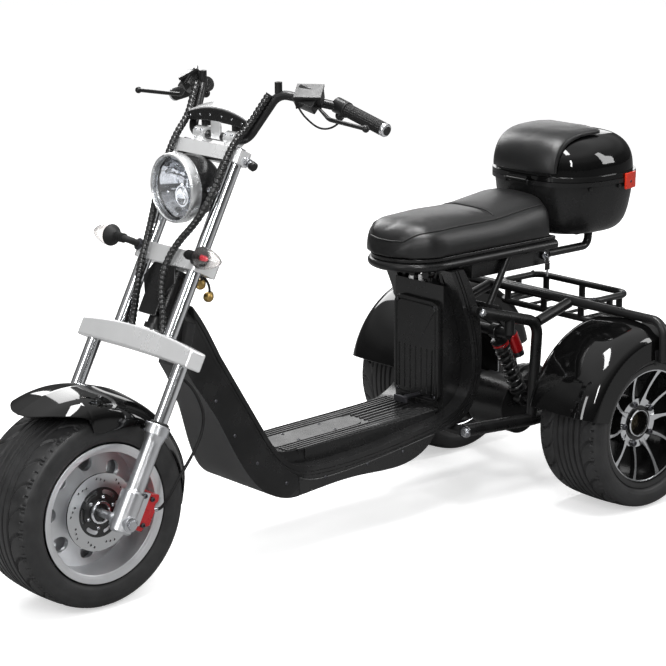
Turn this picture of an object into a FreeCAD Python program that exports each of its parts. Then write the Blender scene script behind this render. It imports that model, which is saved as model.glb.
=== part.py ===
import FreeCAD, Part
import math
import os

# Three-wheel fat-tyre electric scooter. Millimetres, +Z up, front towards -Y, rider's left towards +X.
# Places are given from the ground point below the front axle: a station is the distance behind it.
# The finished shapes are moved so that the origin is the middle of the footprint, on the ground.

# Wheels: both sizes use the same 12 inch rim
wheelbase = 1490.0
rim_radius = 166.0
rim_seat_depth = 13.0
rim_bore_wall = 7.0
tyre_wall = 12.0
tyre_fit = 0.3
front_tyre_section = 66.0
front_tyre_half_width = 107.0
front_flange_half_width = 103.0
rear_tyre_section = 56.0
rear_tyre_half_width = 104.0
rear_flange_half_width = 94.0
rear_track_half = 350.0
wheel_room = 5.5

# Front rim and brake disc
front_hub_radius = 46.0
front_hub_half_width = 68.0
front_web_hub_x = 40.0
front_web_rim_x = 14.0
front_web_thick = 12.0
front_hole_count = 8
front_hole_radius = 20.0
front_hole_ring = 108.0
disc_x = 80.0
disc_radius = 93.0
disc_thick = 4.0
disc_bore_radius = 27.0
disc_hole_radius = 2.6
disc_hole_groups = 9
disc_hole_group_size = 3
disc_hole_ring = 79.0
disc_hole_step = 4.0
disc_hole_pitch_deg = 8.0
disc_slot_count = 6
disc_slot_ring = 49.0
disc_slot_radius = 5.0
disc_slot_pitch_deg = 16.0

# Rear rims: five wide spokes between five narrow ones that start at the wheel bolts
spoke_pair_count = 5
spoke_root_radius = 46.0
spoke_tip_radius = 150.0
wide_spoke_half = 8.0
narrow_spoke_half = 5.0
spoke_sweep = 16.0
spoke_thick = 15.0
dish_hub_x = 50.0
dish_lip_x = 84.0
rear_hub_radius = 66.0
rear_bore_radius = 31.0
rear_bore_depth = 26.0
bore_ring_wall = 4.0
bore_ring_height = 5.0
rear_web_x = 4.0
rear_web_thick = 8.0
bolt_ring = 55.0
bolt_pad_radius = 9.0
bolt_pad_height = 4.0

# Steering head: heights in the raked frame are counted along the fork from the front axle
rake_deg = 27.5
steer_offset = 30.0
leg_x = 172.0
upper_tube_x = 97.0
stanchion_radius = 17.0
upper_tube_radius = 17.0
slider_top = 235.0
slider_cap_radius = 28.0
slider_cap_height = 24.0
slider_tube_radius = 21.0
slider_foot_radius = 26.0
slider_foot_top = 70.0
slider_foot_drop = 27.0
axle_boss_radius = 18.0
axle_boss_half = 31.0
axle_radius = 10.0
axle_clearance = 0.05
yoke_level = 398.0
yoke_end_height = 34.0
yoke_mid_height = 50.0
yoke_rise = 14.0
yoke_half_width = 217.0
yoke_depth = 46.0
yoke_round = 5.0
yoke_seat = 6.0
stem_radius = 14.0
stem_fit = 0.05
head_tube_radius = 26.0
head_cup_radius = 31.0
head_cup_height = 12.0
head_gap = 5.0
web_fit = 0.3
middle_clamp_level = 617.0
middle_clamp_height = 42.0
middle_clamp_half_width = 122.0
middle_clamp_depth = 44.0
top_clamp_level = 882.0
top_clamp_height = 34.0
top_clamp_half_width = 124.0
top_clamp_depth = 48.0
clamp_fit = 0.3

# Handlebar: its bends are given from the clamped middle of the bar
bar_back = 3.7
bar_level = 924.13
bar_radius = 11.0
bar_centre_half = 104.0
bar_bend_x = 143.0
bar_bend_back = 67.0
bar_bend_rise = 110.0
bar_grip_x = 262.0
bar_grip_back = 160.0
bar_grip_rise = 80.0
bar_end_x = 404.0
bar_end_back = 172.0
bar_end_rise = 40.0
bar_corner_radius = 36.0
riser_x = 58.0
riser_radius = 15.0
riser_cap = 19.0
grip_radius = 16.5
grip_length = 126.0
grip_start = 12.0
grip_collar_radius = 19.0
grip_collar_length = 6.0
grip_cap_length = 9.0
bar_fit = 0.3
boss_radius = 9.0
boss_height = 16.0
mirror_hole_radius = 4.2
mirror_hole_depth = 14.0

# Brake levers, fluid reservoirs and switch pods
reservoir_x = 206.0
reservoir_length = 60.0
reservoir_depth = 48.0
reservoir_height = 30.0
reservoir_lid = 6.0
reservoir_lid_over = 2.0
reservoir_tilt_deg = 28.0
reservoir_lift = 9.0
perch_radius = 17.0
perch_length = 28.0
lever_root_out = 34.0
lever_forward = 26.0
lever_knee_out = 76.0
lever_knee_drop = 34.0
lever_tip_x = 431.0
lever_tip_back = 82.0
lever_tip_rise = 58.0
lever_radius = 5.0
lever_bend = 16.0
lever_ball = 8.5
pod_radius = 19.0
pod_length = 30.0
pod_bulb_radius = 11.0
pod_bulb_drop = 22.0

# Dash, above the bar's middle
dash_half_width = 105.0
dash_back = -18.0
dash_lift = 42.0
dash_depth = 40.0
dash_thick = 22.0
dash_arch = 16.0
dash_leg_half = 9.0

# Headlamp: its axis is level
lamp_back = -70.6
lamp_level = 763.7
lamp_radius = 86.0
bezel_depth = 34.0
bezel_wall = 9.0
bucket_radius = 78.0
bucket_depth = 118.0
reflector_depth = 62.0
projector_radius = 25.0
projector_length = 26.0
projector_drop = 22.0
lens_bulge = 12.0
lens_thick = 3.0
lamp_fit = 0.3
lamp_strap_thick = 4.0
lamp_strap_half = 7.0
lamp_strap_back = -22.0
lamp_pivot_back = 45.0
lamp_pivot_radius = 9.0

# Turn signals
signal_forward = -58.0
signal_level = 624.0
signal_root_x = 110.0
signal_body_x = 158.0
signal_tip_x = 250.0
signal_radius = 27.0
signal_cup_length = 16.0
signal_stalk_radius = 9.0
signal_rib_radius = 12.0
signal_rib_pitch = 7.0
signal_rib_count = 4

# Front fender
fender_crown_radius = 303.0
fender_shoulder_radius = 262.0
fender_edge_radius = 196.0
fender_half_width = 121.0
fender_wall = 3.5
fender_front_deg = 33.0
fender_rear_deg = 103.0
fender_ear_level = 223.0
fender_ear_width = 20.0
fender_ear_thick = 10.0

# Brake calliper
caliper_x_in = 62.0
caliper_x_out = 124.0
caliper_slot_half = 7.0
caliper_back = 93.8
caliper_level = 36.4
caliper_length = 96.0
caliper_width = 46.0
caliper_round = 5.0
piston_cap_radius = 15.0
piston_cap_height = 4.0
lug_thick = 14.0
lug_reach = 76.0

# Cables: two wrapped looms and the brake hose
loom_radius = 9.0
hose_radius = 4.0
cable_turn_share = 0.45

# Body: places that the outlines follow
body_half_width = 133.0
neck_half_width = 55.0
beam_width = 41.0
neck_foot_station = 276.0
neck_top_z = 668.0
body_low_z = 165.0
rear_bay_length = 311.0
skirt_joint_station = 555.0
skirt_joint_gap = 1.0
seam_gap = 0.6
side_plane_station = 610.0
side_plane_z = 226.0
side_slope_station = 0.1139
side_slope_z = 0.1681
groove_width = 3.0
groove_depth = 2.5
groove_inset = 11.0
groove_pitch = 9.0
groove_count = 2

# Floor board: ribs along the foot space, round a smooth middle pad
rib_width = 5.0
rib_height = 3.0
rib_pitch = 12.0
rib_count = 8
rib_first_x = 8.0
pad_strip_half = 40.0
pad_strip_front = 512.0
pad_strip_rear = 823.0
rib_front_station = 560.0
rib_rear_inset = 24.0

# Battery bay
bay_half_width = 91.0
bay_depth = 99.0
bay_low_z = 262.0
bay_height = 338.0
door_thick = 12.0
door_half_width = 84.0
door_bottom_gap = 24.0
door_height = 270.0
door_corner = 26.0
door_gap = 0.3
door_groove_count = 7
door_groove_pitch = 21.0
door_groove_height = 118.0
door_groove_rise = 22.0
door_frame_inset = 9.0
bay_leg_width = 11.0
bay_leg_foot_x = 76.0
bay_leg_head_x = 48.0
bay_leg_depth = 12.0
connector_radius = 13.0
connector_length = 16.0
connector_x = 26.0
connector_rise = 22.0

# Seat
seat_half_width = 131.0
seat_front_reach = 590.0
seat_rear_reach = 44.0
seat_height = 117.0
seat_gap = 0.3
seat_power = 3.4
pan_thick = 10.0
rail_x = 118.0
rail_radius = 12.0
rail_z = 660.0
rail_front_reach = 572.0
rail_rear_reach = 20.0
box_half_width = 96.0
box_front_reach = 314.0
box_rear_reach = 24.0
box_depth = 55.0
lock_radius = 9.0
lock_depth = 6.0
lock_inset = 22.0
strut_x = 108.0
strut_radius = 9.0
strut_head_reach = 186.0
strut_foot_reach = 265.0
strut_foot_z = 526.0

# Case and its rack
case_back = 127.0
case_half_width = 179.0
case_half_length = 166.0
case_shell_height = 148.0
case_lid_height = 117.0
case_flange = 7.0
case_flange_height = 12.0
case_wall = 5.0
case_power = 2.6
case_lid_gap = 1.5
rack_x = 86.0
rack_radius = 11.0
rack_z = 630.0
rack_lift = 46.0
rack_turn_back = 121.0
rack_post_back = 137.0
rack_plate_thick = 8.0
pad_half_width = 118.0
pad_rise = 18.0
pad_depth = 18.0
pad_reach = 22.0
hinge_radius = 5.0
hinge_half = 46.0
corner_block_x = 140.0
corner_block_front = 40.0
corner_block_rear = 92.0
corner_block_thick = 6.0
corner_block_low = 31.0
corner_block_high = 12.0
case_lock_half = 17.0
case_lock_height = 30.0
case_lock_depth = 6.0

# Rear frame
lower_rail_radius = 17.0
pivot_reach = 396.0
pivot_z = 223.0
lower_rail_reach = 86.0
lower_rail_drop = 17.0
post_top_reach = 122.0
post_top_z = 470.0
post_low_reach = 141.0
post_radius = 15.0
upper_rail_reach = 340.0
upper_rail_front_z = 531.0
frame_cross_radius = 14.0
rail_boss_radius = 12.0
pivot_lug_x = 55.0
pivot_lug_half = 6.0
shock_x = 100.0
shock_top_reach = 228.0
shock_top_z = 453.0
shock_low_reach = 128.0
shock_low_lift = 30.0
shock_body_radius = 19.0
coil_wire_radius = 4.5
coil_turns = 8
coil_start = 34.0
shock_rod_radius = 8.0
shock_eye_radius = 20.0
shock_eye_width = 24.0
shock_pin_radius = 9.0
reservoir_can_radius = 17.0
reservoir_can_length = 78.0
reservoir_can_back = 44.0
axle_tube_radius = 28.0
axle_tube_end = 222.0
stub_radius = 14.0
drive_radius = 82.0
drive_half_width = 62.0
drive_rib = 6.0
motor_radius = 74.0
motor_half_width = 66.0
motor_reach = 95.0
motor_drop = 8.0

# Carrier: hoop over the fenders and the basket
hoop_back = 7.0
hoop_radius = 12.0
hoop_corner = 38.0
hoop_leg_lift = 177.0
hoop_fit = 0.3
basket_half_width = 172.0
basket_front_back = 57.0
basket_rear_back = 210.0
basket_drop = 8.0
basket_height = 50.0
basket_wire = 9.0
basket_corner = 34.0
basket_tie_x = 110.0
slat_count = 5

# Rear fenders
rear_fender_crown = 271.0
rear_fender_shoulder = 232.0
rear_fender_edge = 184.0
rear_fender_deg = 76.0

# Parking pedal
pedal_x = 14.0
pedal_z = 300.0
pedal_radius = 6.0
pedal_reach = 62.0
pedal_pad_half = 22.0
pedal_pad_thick = 8.0

# Cuts run past the faces that they open by this much
cut_over = 20.0
full_turn = 360.0

# Places worked out from the sizes above
front_tyre_radius = rim_radius + front_tyre_section
rear_tyre_radius = rim_radius + rear_tyre_section
rim_seat_radius = rim_radius - rim_seat_depth
rake = math.radians(rake_deg)
rake_sin = math.sin(rake)
rake_cos = math.cos(rake)
body_rear_station = wheelbase - rear_bay_length
bay_front_station = body_rear_station - bay_depth
seat_front_station = wheelbase - seat_front_reach
seat_rear_station = wheelbase - seat_rear_reach
rail_front_station = wheelbase - rail_front_reach
rail_rear_station = wheelbase - rail_rear_reach
box_front_station = wheelbase - box_front_reach
box_rear_station = wheelbase - box_rear_reach
case_station = wheelbase + case_back
case_low_z = rack_z + rack_lift
case_band_z = case_low_z + case_shell_height
case_top_z = case_band_z + case_lid_height
case_rear_station = case_station + case_half_length + case_flange + case_lock_depth
hinge_station = case_station - case_half_length - case_flange - 2 * hinge_radius
pan_low_z = rail_z + rail_radius + seat_gap
seat_low_z = pan_low_z + pan_thick + seat_gap
pivot_station = wheelbase - pivot_reach
frame_rail_x = body_half_width + lower_rail_radius + seat_gap
lower_rail_end_station = wheelbase - lower_rail_reach
lower_rail_end_z = rear_tyre_radius - lower_rail_drop
post_top_station = wheelbase - post_top_reach
post_low_station = wheelbase - post_low_reach
upper_rail_front_station = wheelbase - upper_rail_reach
shock_top_station = wheelbase - shock_top_reach
shock_low_station = wheelbase - shock_low_reach
shock_low_z = rear_tyre_radius + shock_low_lift
rear_fender_wall = fender_wall
rear_fender_inner_x = rear_track_half - rear_tyre_half_width - wheel_room - rear_fender_wall
rear_fender_outer_x = rear_track_half + rear_tyre_half_width + wheel_room + rear_fender_wall
hoop_station = wheelbase + hoop_back
hoop_z = rear_tyre_radius + rear_fender_crown + hoop_fit + hoop_radius
hoop_leg_x = rear_fender_outer_x + hoop_fit + hoop_radius
origin_station = (case_rear_station - front_tyre_radius) / 2
body_length = body_rear_station - neck_foot_station
body_height = neck_top_z - body_low_z

# Body outlines, as shares of the body's length behind the neck foot and of its height
lower_edge_shares = [(0, 0.698), (0.044, 0.563), (0.082, 0.437), (0.113, 0.304), (0.146, 0.177),
                     (0.198, 0.054), (0.261, 0), (0.361, 0), (0.543, 0.012), (0.748, 0.03),
                     (0.797, 0.082), (0.816, 0.122)]
seam_shares = [(0.036, 0.909), (0.093, 0.716), (0.146, 0.531), (0.198, 0.335), (0.255, 0.172),
               (0.322, 0.083), (0.44, 0.06), (0.681, 0.1), (0.816, 0.13)]
rear_edge_shares = [(0.816, 0.13), (0.87, 0.137), (0.934, 0.178), (0.983, 0.29), (1, 0.467),
                    (0.994, 0.642), (0.97, 0.8), (0.925, 0.955)]
inner_edge_shares = [(0.026, 0.998), (0.048, 0.944), (0.128, 0.682), (0.2115, 0.372), (0.257, 0.223),
                     (0.302, 0.149), (0.364, 0.125), (0.518, 0.125), (0.68, 0.15), (0.805, 0.18),
                     (0.889, 0.216), (0.945, 0.3), (0.962, 0.43), (0.95, 0.6), (0.918, 0.785),
                     (0.875, 0.955)]
shield_shares = [(0.034, 0.96), (0.126, 0.655), (0.207, 0.35), (0.25, 0.235), (0.295, 0.198),
                 (0.364, 0.193), (0.6, 0.203), (0.785, 0.215), (0.87, 0.222)]
bay_shares = [(0, 0), (0.42, 0), (0.82, 0.14), (0.98, 0.42), (0.92, 0.67), (0.72, 0.88), (0.5, 1), (0, 1)]

# Seat sections: share of the seat's length, of its half width and of its height
seat_shares = [(0, 0.5, 0.16), (0.032, 0.76, 0.42), (0.105, 0.92, 0.7), (0.253, 0.99, 0.81), (0.443, 1, 0.84),
               (0.633, 1, 0.84), (0.738, 1, 0.9), (0.844, 1, 0.97), (0.95, 0.99, 1), (0.985, 0.96, 0.96), (1, 0.9, 0.88)]

# Case sections: share of the height and of the half axes
case_shell_shares = [(0, 0.74), (0.16, 0.87), (0.42, 0.94), (0.76, 0.985), (1, 1)]
case_lid_shares = [(0, 1), (0.32, 0.985), (0.62, 0.92), (0.83, 0.79), (0.95, 0.58), (1, 0.34)]

# Tyre outline from bead to crown: shares of the half width and of the height above the rim
tyre_shares = [(0.95, 0.08), (0.99, 0.26), (1, 0.46), (0.985, 0.68), (0.93, 0.84), (0.8, 0.925),
               (0.55, 0.968), (0.28, 0.99), (0, 1)]

# Fender crown from side to side: shares of the width and of the rise above the shoulder
front_arch_shares = [(0, 0), (0.02, 0.3), (0.08, 0.6), (0.22, 0.85), (0.5, 1), (0.78, 0.85), (0.92, 0.6),
                     (0.98, 0.3), (1, 0)]
rear_arch_shares = [(0, 0), (0.015, 0.42), (0.06, 0.72), (0.2, 0.92), (0.45, 1), (0.72, 0.95), (0.88, 0.75),
                    (0.97, 0.38), (1, 0)]

# Front fender: its lower edge seen from the side and its nose seen from above, as shares of the crown radius
fender_edge_shares = [(-0.62, 0.9), (-0.54, 0.84), (-0.427, 0.778), (-0.227, 0.705), (-0.05, 0.664),
                      (0.147, 0.63)]
fender_nose_shares = [(0, -0.538), (0.13, -0.505), (0.26, -0.42), (0.35, -0.29), (0.4, -0.1), (0.42, 0)]

# Spoke outline: share of the spoke's length, half width share
wide_spoke_shares = [(0, 0.9), (0.05, 1), (0.14, 0.95), (0.32, 0.58), (0.6, 0.52), (0.86, 0.68), (1, 1.1)]
narrow_spoke_shares = [(0, 0.9), (0.2, 0.85), (0.5, 0.7), (0.8, 0.85), (1, 1.3)]

# Calliper outline: shares of its width and length
bucket_shares = [(0, 1), (0.15, 0.995), (0.35, 0.96), (0.55, 0.87), (0.75, 0.69), (0.9, 0.44), (0.975, 0.2), (1, 0)]
caliper_shares = [(-0.5, -0.34), (-0.26, -0.5), (0.12, -0.5), (0.24, -0.36), (0.5, -0.3), (0.5, 0.08),
                  (0.34, 0.2), (0.5, 0.34), (0.4, 0.5), (-0.1, 0.44), (-0.5, 0.3)]


def vec(x, y, z):
    return FreeCAD.Vector(x, y, z)


x_axis = vec(1, 0, 0)
y_axis = vec(0, 1, 0)
z_axis = vec(0, 0, 1)
ground = vec(0, 0, 0)
sides = ((1, "left"), (-1, "right"))


def head(x, back, level):
    # A point of the raked frame: back is behind the fork tubes, level is up along them.
    return vec(x, back * rake_cos + level * rake_sin, front_tyre_radius - back * rake_sin + level * rake_cos)


def bar_point(x, back, rise):
    # A point given from the middle of the clamped handlebar.
    return head(0, bar_back, bar_level) + vec(x, back, rise)


def raked(shape):
    # Stands a shape drawn upright about the axle onto the raked fork line.
    placed = shape.copy()
    placed.rotate(ground, x_axis, -rake_deg)
    placed.translate(vec(0, 0, front_tyre_radius))
    return placed


def save(name, shape):
    moved = shape.copy()
    moved.translate(vec(0, -origin_station, 0))
    moved.exportStep("parts/" + name + ".step")


def fuse(shapes):
    whole = shapes[0]
    if len(shapes) > 1:
        whole = shapes[0].multiFuse(shapes[1:])
    return whole.removeSplitter()


def box(x0, x1, y0, y1, z0, z1):
    return Part.makeBox(x1 - x0, y1 - y0, z1 - z0, vec(x0, y0, z0))


def rod(start, end, radius):
    run = end.sub(start)
    return Part.makeCylinder(radius, run.Length, start, run)


def mirrored(shape):
    return shape.mirror(ground, x_axis)


def both(shape):
    return Part.makeCompound([shape, mirrored(shape)])


def bent_tube(points, bend, radius):
    # Straight runs joined by tangent arcs, closed by flat ends; bend is one radius or one per corner.
    bends = bend if isinstance(bend, list) else [bend] * (len(points) - 2)
    pieces = []
    start = points[0]
    for index in range(1, len(points) - 1):
        corner = points[index]
        back = points[index - 1].sub(corner).normalize()
        ahead = points[index + 1].sub(corner).normalize()
        turn = math.pi - back.getAngle(ahead)
        reach = bends[index - 1] * math.tan(turn / 2)
        first = corner + back * reach
        last = corner + ahead * reach
        bisector = (back + ahead).normalize()
        centre = corner + bisector * (bends[index - 1] / math.cos(turn / 2))
        pieces.append(rod(start, first, radius))
        section = Part.Face(Part.Wire(Part.makeCircle(radius, first, back)))
        axis = back.cross(ahead)
        pieces.append(section.revolve(centre, axis * -1, math.degrees(turn)))
        start = last
    pieces.append(rod(start, points[-1], radius))
    return fuse(pieces)


def cable_bends(points):
    # The largest arc that the two runs at each corner leave room for.
    bends = []
    for index in range(1, len(points) - 1):
        back = points[index - 1].sub(points[index])
        ahead = points[index + 1].sub(points[index])
        turn = math.pi - back.getAngle(ahead)
        bends.append(cable_turn_share * min(back.Length, ahead.Length) / math.tan(turn / 2))
    return bends


def smooth_edge(points):
    spline = Part.BSplineCurve()
    spline.interpolate(points)
    return spline.toShape()


def closed_spline(points):
    spline = Part.BSplineCurve()
    spline.interpolate(points, PeriodicFlag=True)
    return Part.Wire(spline.toShape())


def outline_face(points):
    return Part.Face(Part.makePolygon(points + [points[0]]))


def run_face(runs):
    # A face from runs of points that meet end to end: two points are a line, more are a smooth curve.
    edges = []
    for points in runs:
        edges.append(Part.makeLine(points[0], points[1]) if len(points) == 2 else smooth_edge(points))
    if runs[-1][-1].distanceToPoint(runs[0][0]) > web_fit / 3:
        edges.append(Part.makeLine(runs[-1][-1], runs[0][0]))
    return Part.Face(Part.Wire(Part.__sortEdges__(edges)))


def spun(profile, station, z, x, side=1):
    # A profile of (x, radius) pairs turned about a wheel's axle; side -1 faces it the other way.
    face = outline_face([vec(x + side * px, station, z + radius) for px, radius in profile])
    return face.revolve(vec(x, station, z), x_axis, full_turn)


def ring_point(station, z, radius, angle, x=0.0):
    # A point on a circle about an axle.
    return vec(x, station + radius * math.cos(angle), z + radius * math.sin(angle))


def body_point(pair, x=0.0):
    return vec(x, neck_foot_station + pair[0] * body_length, body_low_z + pair[1] * body_height)


def band(start, finish, half_width):
    # The closed outline between two smooth edges, as a plate across the body.
    start = [point - x_axis * half_width for point in start]
    finish = [point - x_axis * half_width for point in finish]
    edges = [smooth_edge(start), Part.makeLine(start[-1], finish[-1]), smooth_edge(finish)]
    if start[0].distanceToPoint(finish[0]) > seam_gap:
        edges.append(Part.makeLine(start[0], finish[0]))
    wire = Part.Wire(Part.__sortEdges__(edges))
    return Part.Face(wire).extrude(vec(2 * half_width, 0, 0))


def body_curve(shares):
    return [body_point(pair) for pair in shares]


def beside(points, distance):
    # The same smooth line moved sideways in its own plane, to the right of its direction.
    moved = []
    for index, point in enumerate(points):
        before = points[max(index - 1, 0)]
        after = points[min(index + 1, len(points) - 1)]
        along = after.sub(before).normalize()
        moved.append(point + x_axis.cross(along) * -distance)
    return moved


def side_waste(inset):
    # What lies outside the tilted side planes that narrow the body towards the neck.
    half = body_half_width - inset
    normal = vec(1, -side_slope_station, side_slope_z)
    size = wheelbase
    block = Part.makeBox(size, 2 * size, 2 * size, vec(0, -size, -size))
    block.Placement = FreeCAD.Placement(vec(half, side_plane_station, side_plane_z),
                                        FreeCAD.Rotation(x_axis, normal))
    narrow = neck_half_width - inset
    outside = box(narrow, size, -size, side_plane_station, 0, size)
    return block.common(outside)


def trim_sides(shape, inset=0.0):
    waste = side_waste(inset)
    return shape.cut(waste).cut(mirrored(waste))


def body_core(inset):
    half = body_half_width - inset
    return trim_sides(box(-half, half, 0, 2 * wheelbase, 0, 2 * wheelbase), inset)


def side_beam():
    outer = body_curve(seam_shares + rear_edge_shares[1:])
    inner = body_curve(inner_edge_shares)
    whole = trim_sides(band(outer, inner, body_half_width))
    left = whole.common(box(0, wheelbase, 0, wheelbase, 0, wheelbase)).cut(body_core(beam_width))
    rim = body_core(groove_depth)
    for index in range(groove_count):
        near = groove_inset + index * groove_pitch
        groove = band(beside(inner, near), beside(inner, near + groove_width), body_half_width + cut_over)
        left = left.cut(groove.cut(rim))
    return left


def lower_body():
    return trim_sides(band(body_curve(lower_edge_shares), body_curve(seam_shares), body_half_width))


def front_cover(lower):
    shape = lower.common(box(-wheelbase, wheelbase, 0, skirt_joint_station, 0, wheelbase))
    shape.translate(vec(0, 0, -seam_gap))
    return shape


def belly_skirt(lower):
    start = skirt_joint_station + skirt_joint_gap
    shape = lower.common(box(-wheelbase, wheelbase, start, wheelbase, 0, wheelbase))
    shape.translate(vec(0, 0, -seam_gap))
    return shape


def floor_board():
    reach = body_half_width - beam_width - seam_gap
    top = body_curve(shield_shares)
    slab = trim_sides(band(body_curve(seam_shares), top, reach), beam_width + seam_gap)
    raised = [point + z_axis * rib_height for point in top]
    skin = band([point - z_axis * rib_height for point in top], raised, reach)
    pieces = [slab]
    rear = bay_front_station - door_thick - rib_rear_inset
    for index in range(rib_count // 2):
        x = pad_strip_half + rib_first_x + index * rib_pitch
        start = max(rib_front_station, floor_narrow_station(x + rib_width))
        strip = box(x, x + rib_width, start, rear, 0, wheelbase)
        pieces.append(skin.common(strip))
        pieces.append(skin.common(mirrored(strip)))
    for index in range(-2, 3):
        x = index * (pad_strip_half - rib_width) / 2
        start = pad_strip_rear + pad_strip_half + rib_first_x
        pieces.append(skin.common(box(x - rib_width / 2, x + rib_width / 2, start, rear, 0, wheelbase)))
    strip = box(-pad_strip_half, pad_strip_half, pad_strip_front, pad_strip_rear, 0, wheelbase)
    cap = Part.makeCylinder(pad_strip_half, wheelbase, vec(0, pad_strip_rear, 0))
    pieces.append(skin.common(fuse([strip, cap])))
    return fuse(pieces)


def floor_narrow_station(x):
    # Where the tilted sides leave room for a rib that far from the middle.
    room = body_half_width - beam_width - seam_gap - x
    return side_plane_station - room / side_slope_station


def battery_box():
    points = []
    for share_y, share_z in bay_shares:
        points.append(vec(-bay_half_width, bay_front_station + share_y * bay_depth,
                          bay_low_z + share_z * bay_height))
    case = outline_face(points).extrude(vec(2 * bay_half_width, 0, 0))
    top = bay_low_z + bay_height
    pieces = [case]
    for side in (-1, 1):
        foot = side * bay_leg_foot_x
        crown = side * bay_leg_head_x
        half = bay_leg_width / 2
        front = bay_front_station + bay_leg_depth
        leg_face = outline_face([vec(foot - half, front, top - half), vec(foot + half, front, top - half),
                                 vec(crown + half, front, pan_low_z - seat_gap),
                                 vec(crown - half, front, pan_low_z - seat_gap)])
        pieces.append(leg_face.extrude(vec(0, bay_leg_depth, 0)))
        stud = vec(side * connector_x, front, top + connector_rise)
        pieces.append(rod(stud - z_axis * (connector_rise + half), stud + z_axis * half, connector_radius / 2))
        pieces.append(rod(stud - y_axis * connector_length, stud + y_axis * connector_length / 2, connector_radius))
    return fuse(pieces)


def battery_door():
    front = bay_front_station - door_gap - door_thick
    low = bay_low_z + door_bottom_gap
    plate = box(-door_half_width, door_half_width, front, front + door_thick, low, low + door_height)
    corners = [edge for edge in plate.Edges if abs(edge.tangentAt(edge.FirstParameter).y) > 1 / 2]
    plate = plate.makeFillet(door_corner, corners)
    inset = door_frame_inset
    outer = box(-door_half_width + inset, door_half_width - inset, front - cut_over, front + groove_depth,
                low + inset, low + door_height - inset)
    inner = box(-door_half_width + inset + groove_width, door_half_width - inset - groove_width,
                front - 2 * cut_over, front + 2 * groove_depth, low + inset + groove_width,
                low + door_height - inset - groove_width)
    frame_groove = rounded_along_y(outer, door_corner - inset).cut(rounded_along_y(inner, door_corner - inset))
    plate = plate.cut(frame_groove)
    for index in range(door_groove_count):
        x = (index - (door_groove_count - 1) / 2) * door_groove_pitch
        plate = plate.cut(box(x - groove_width / 2, x + groove_width / 2, front - cut_over, front + groove_depth,
                              low + door_groove_rise, low + door_groove_rise + door_groove_height))
    return plate


def rounded_along_y(block, radius):
    corners = [edge for edge in block.Edges if abs(edge.tangentAt(edge.FirstParameter).y) > 1 / 2]
    return block.makeFillet(radius, corners)


def head_tube():
    low = yoke_level + yoke_mid_height / 2 + yoke_rise + head_gap
    high = middle_clamp_level - middle_clamp_height / 2 - head_gap
    sleeve = rod(head(0, steer_offset, low), head(0, steer_offset, high), head_tube_radius)
    low_cup = rod(head(0, steer_offset, low), head(0, steer_offset, low + head_cup_height), head_cup_radius)
    high_cup = rod(head(0, steer_offset, high - head_cup_height), head(0, steer_offset, high), head_cup_radius)
    low_point = head(0, steer_offset, low + head_tube_radius)
    high_point = head(0, steer_offset, high - head_tube_radius)
    foot = body_point(lower_edge_shares[0])
    crest = body_point(inner_edge_shares[0])
    half = neck_half_width / 2
    corners = [low_point, foot.sub(vec(0, web_fit, -head_gap)), crest.sub(vec(0, web_fit, 0)), high_point]
    web = outline_face([point.sub(vec(half, 0, 0)) for point in corners]).extrude(vec(2 * half, 0, 0))
    whole = fuse([sleeve, low_cup, high_cup, web])
    bore = rod(head(0, steer_offset, 0), head(0, steer_offset, wheelbase), stem_radius + stem_fit)
    return whole.cut(bore)


def seat_rail():
    path = [vec(-rail_x, rail_rear_station, rail_z), vec(-rail_x, rail_front_station, rail_z),
            vec(rail_x, rail_front_station, rail_z), vec(rail_x, rail_rear_station, rail_z)]
    pieces = [bent_tube(path, 2 * rail_radius, rail_radius)]
    cross_low = cross_bar_point(-1)
    cross_high = cross_bar_point(1)
    cross = rod(cross_low, cross_high, strut_radius + seat_gap)
    for side in (-1, 1):
        crown = vec(side * strut_x, wheelbase - strut_head_reach, rail_z)
        foot = vec(side * strut_x, wheelbase - strut_foot_reach, strut_foot_z)
        pieces.append(rod(foot, crown, strut_radius).cut(cross))
    return fuse(pieces)


def cross_bar_point(side):
    # An end of the frame's cross tube that the seat struts stand on.
    return vec(side * frame_rail_x, wheelbase - strut_foot_reach, strut_foot_z)


def under_seat_box():
    pan = box(-rail_x, rail_x, rail_front_station, rail_rear_station, pan_low_z, pan_low_z + pan_thick)
    low = rail_z - box_depth
    bin_ = box(-box_half_width, box_half_width, box_front_station, box_rear_station, low, pan_low_z)
    lock_y = box_rear_station - lock_inset
    lock = rod(vec(box_half_width - lock_depth, lock_y, low + lock_inset),
               vec(box_half_width + lock_depth, lock_y, low + lock_inset), lock_radius)
    return fuse([pan, bin_, lock])


def seat_cushion():
    length = seat_rear_station - seat_front_station
    wires = []
    for share_y, share_x, share_z in seat_shares:
        wires.append(oval(seat_front_station + share_y * length, share_x * seat_half_width, share_z * seat_height))
    block = Part.makeLoft(wires, True)
    size = wheelbase
    return block.common(box(-size, size, 0, 2 * size, seat_low_z, size))


def power_ring(half_a, half_b, power, count=24):
    # Points of a rounded rectangle: a circle drawn with a power above two.
    points = []
    for index in range(count):
        angle = 2 * math.pi * index / count
        cos_a = math.cos(angle)
        sin_a = math.sin(angle)
        points.append((half_a * math.copysign(abs(cos_a) ** (2 / power), cos_a),
                       half_b * math.copysign(abs(sin_a) ** (2 / power), sin_a)))
    return points


def oval(station, half_x, half_z):
    return closed_spline([vec(x, station, seat_low_z + z) for x, z in power_ring(half_x, half_z, seat_power)])


def oval_loft(levels, low, high, inset=0.0):
    wires = []
    for share_z, share_r in levels:
        z = low + share_z * (high - low)
        pairs = power_ring(share_r * (case_half_width - inset), share_r * (case_half_length - inset), case_power)
        wires.append(closed_spline([vec(x, case_station + y, z) for x, y in pairs]))
    return Part.makeLoft(wires, True)


def case_ring(low, high, grow):
    return oval_loft([(0, 1), (1, 1)], low, high, -grow)


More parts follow.
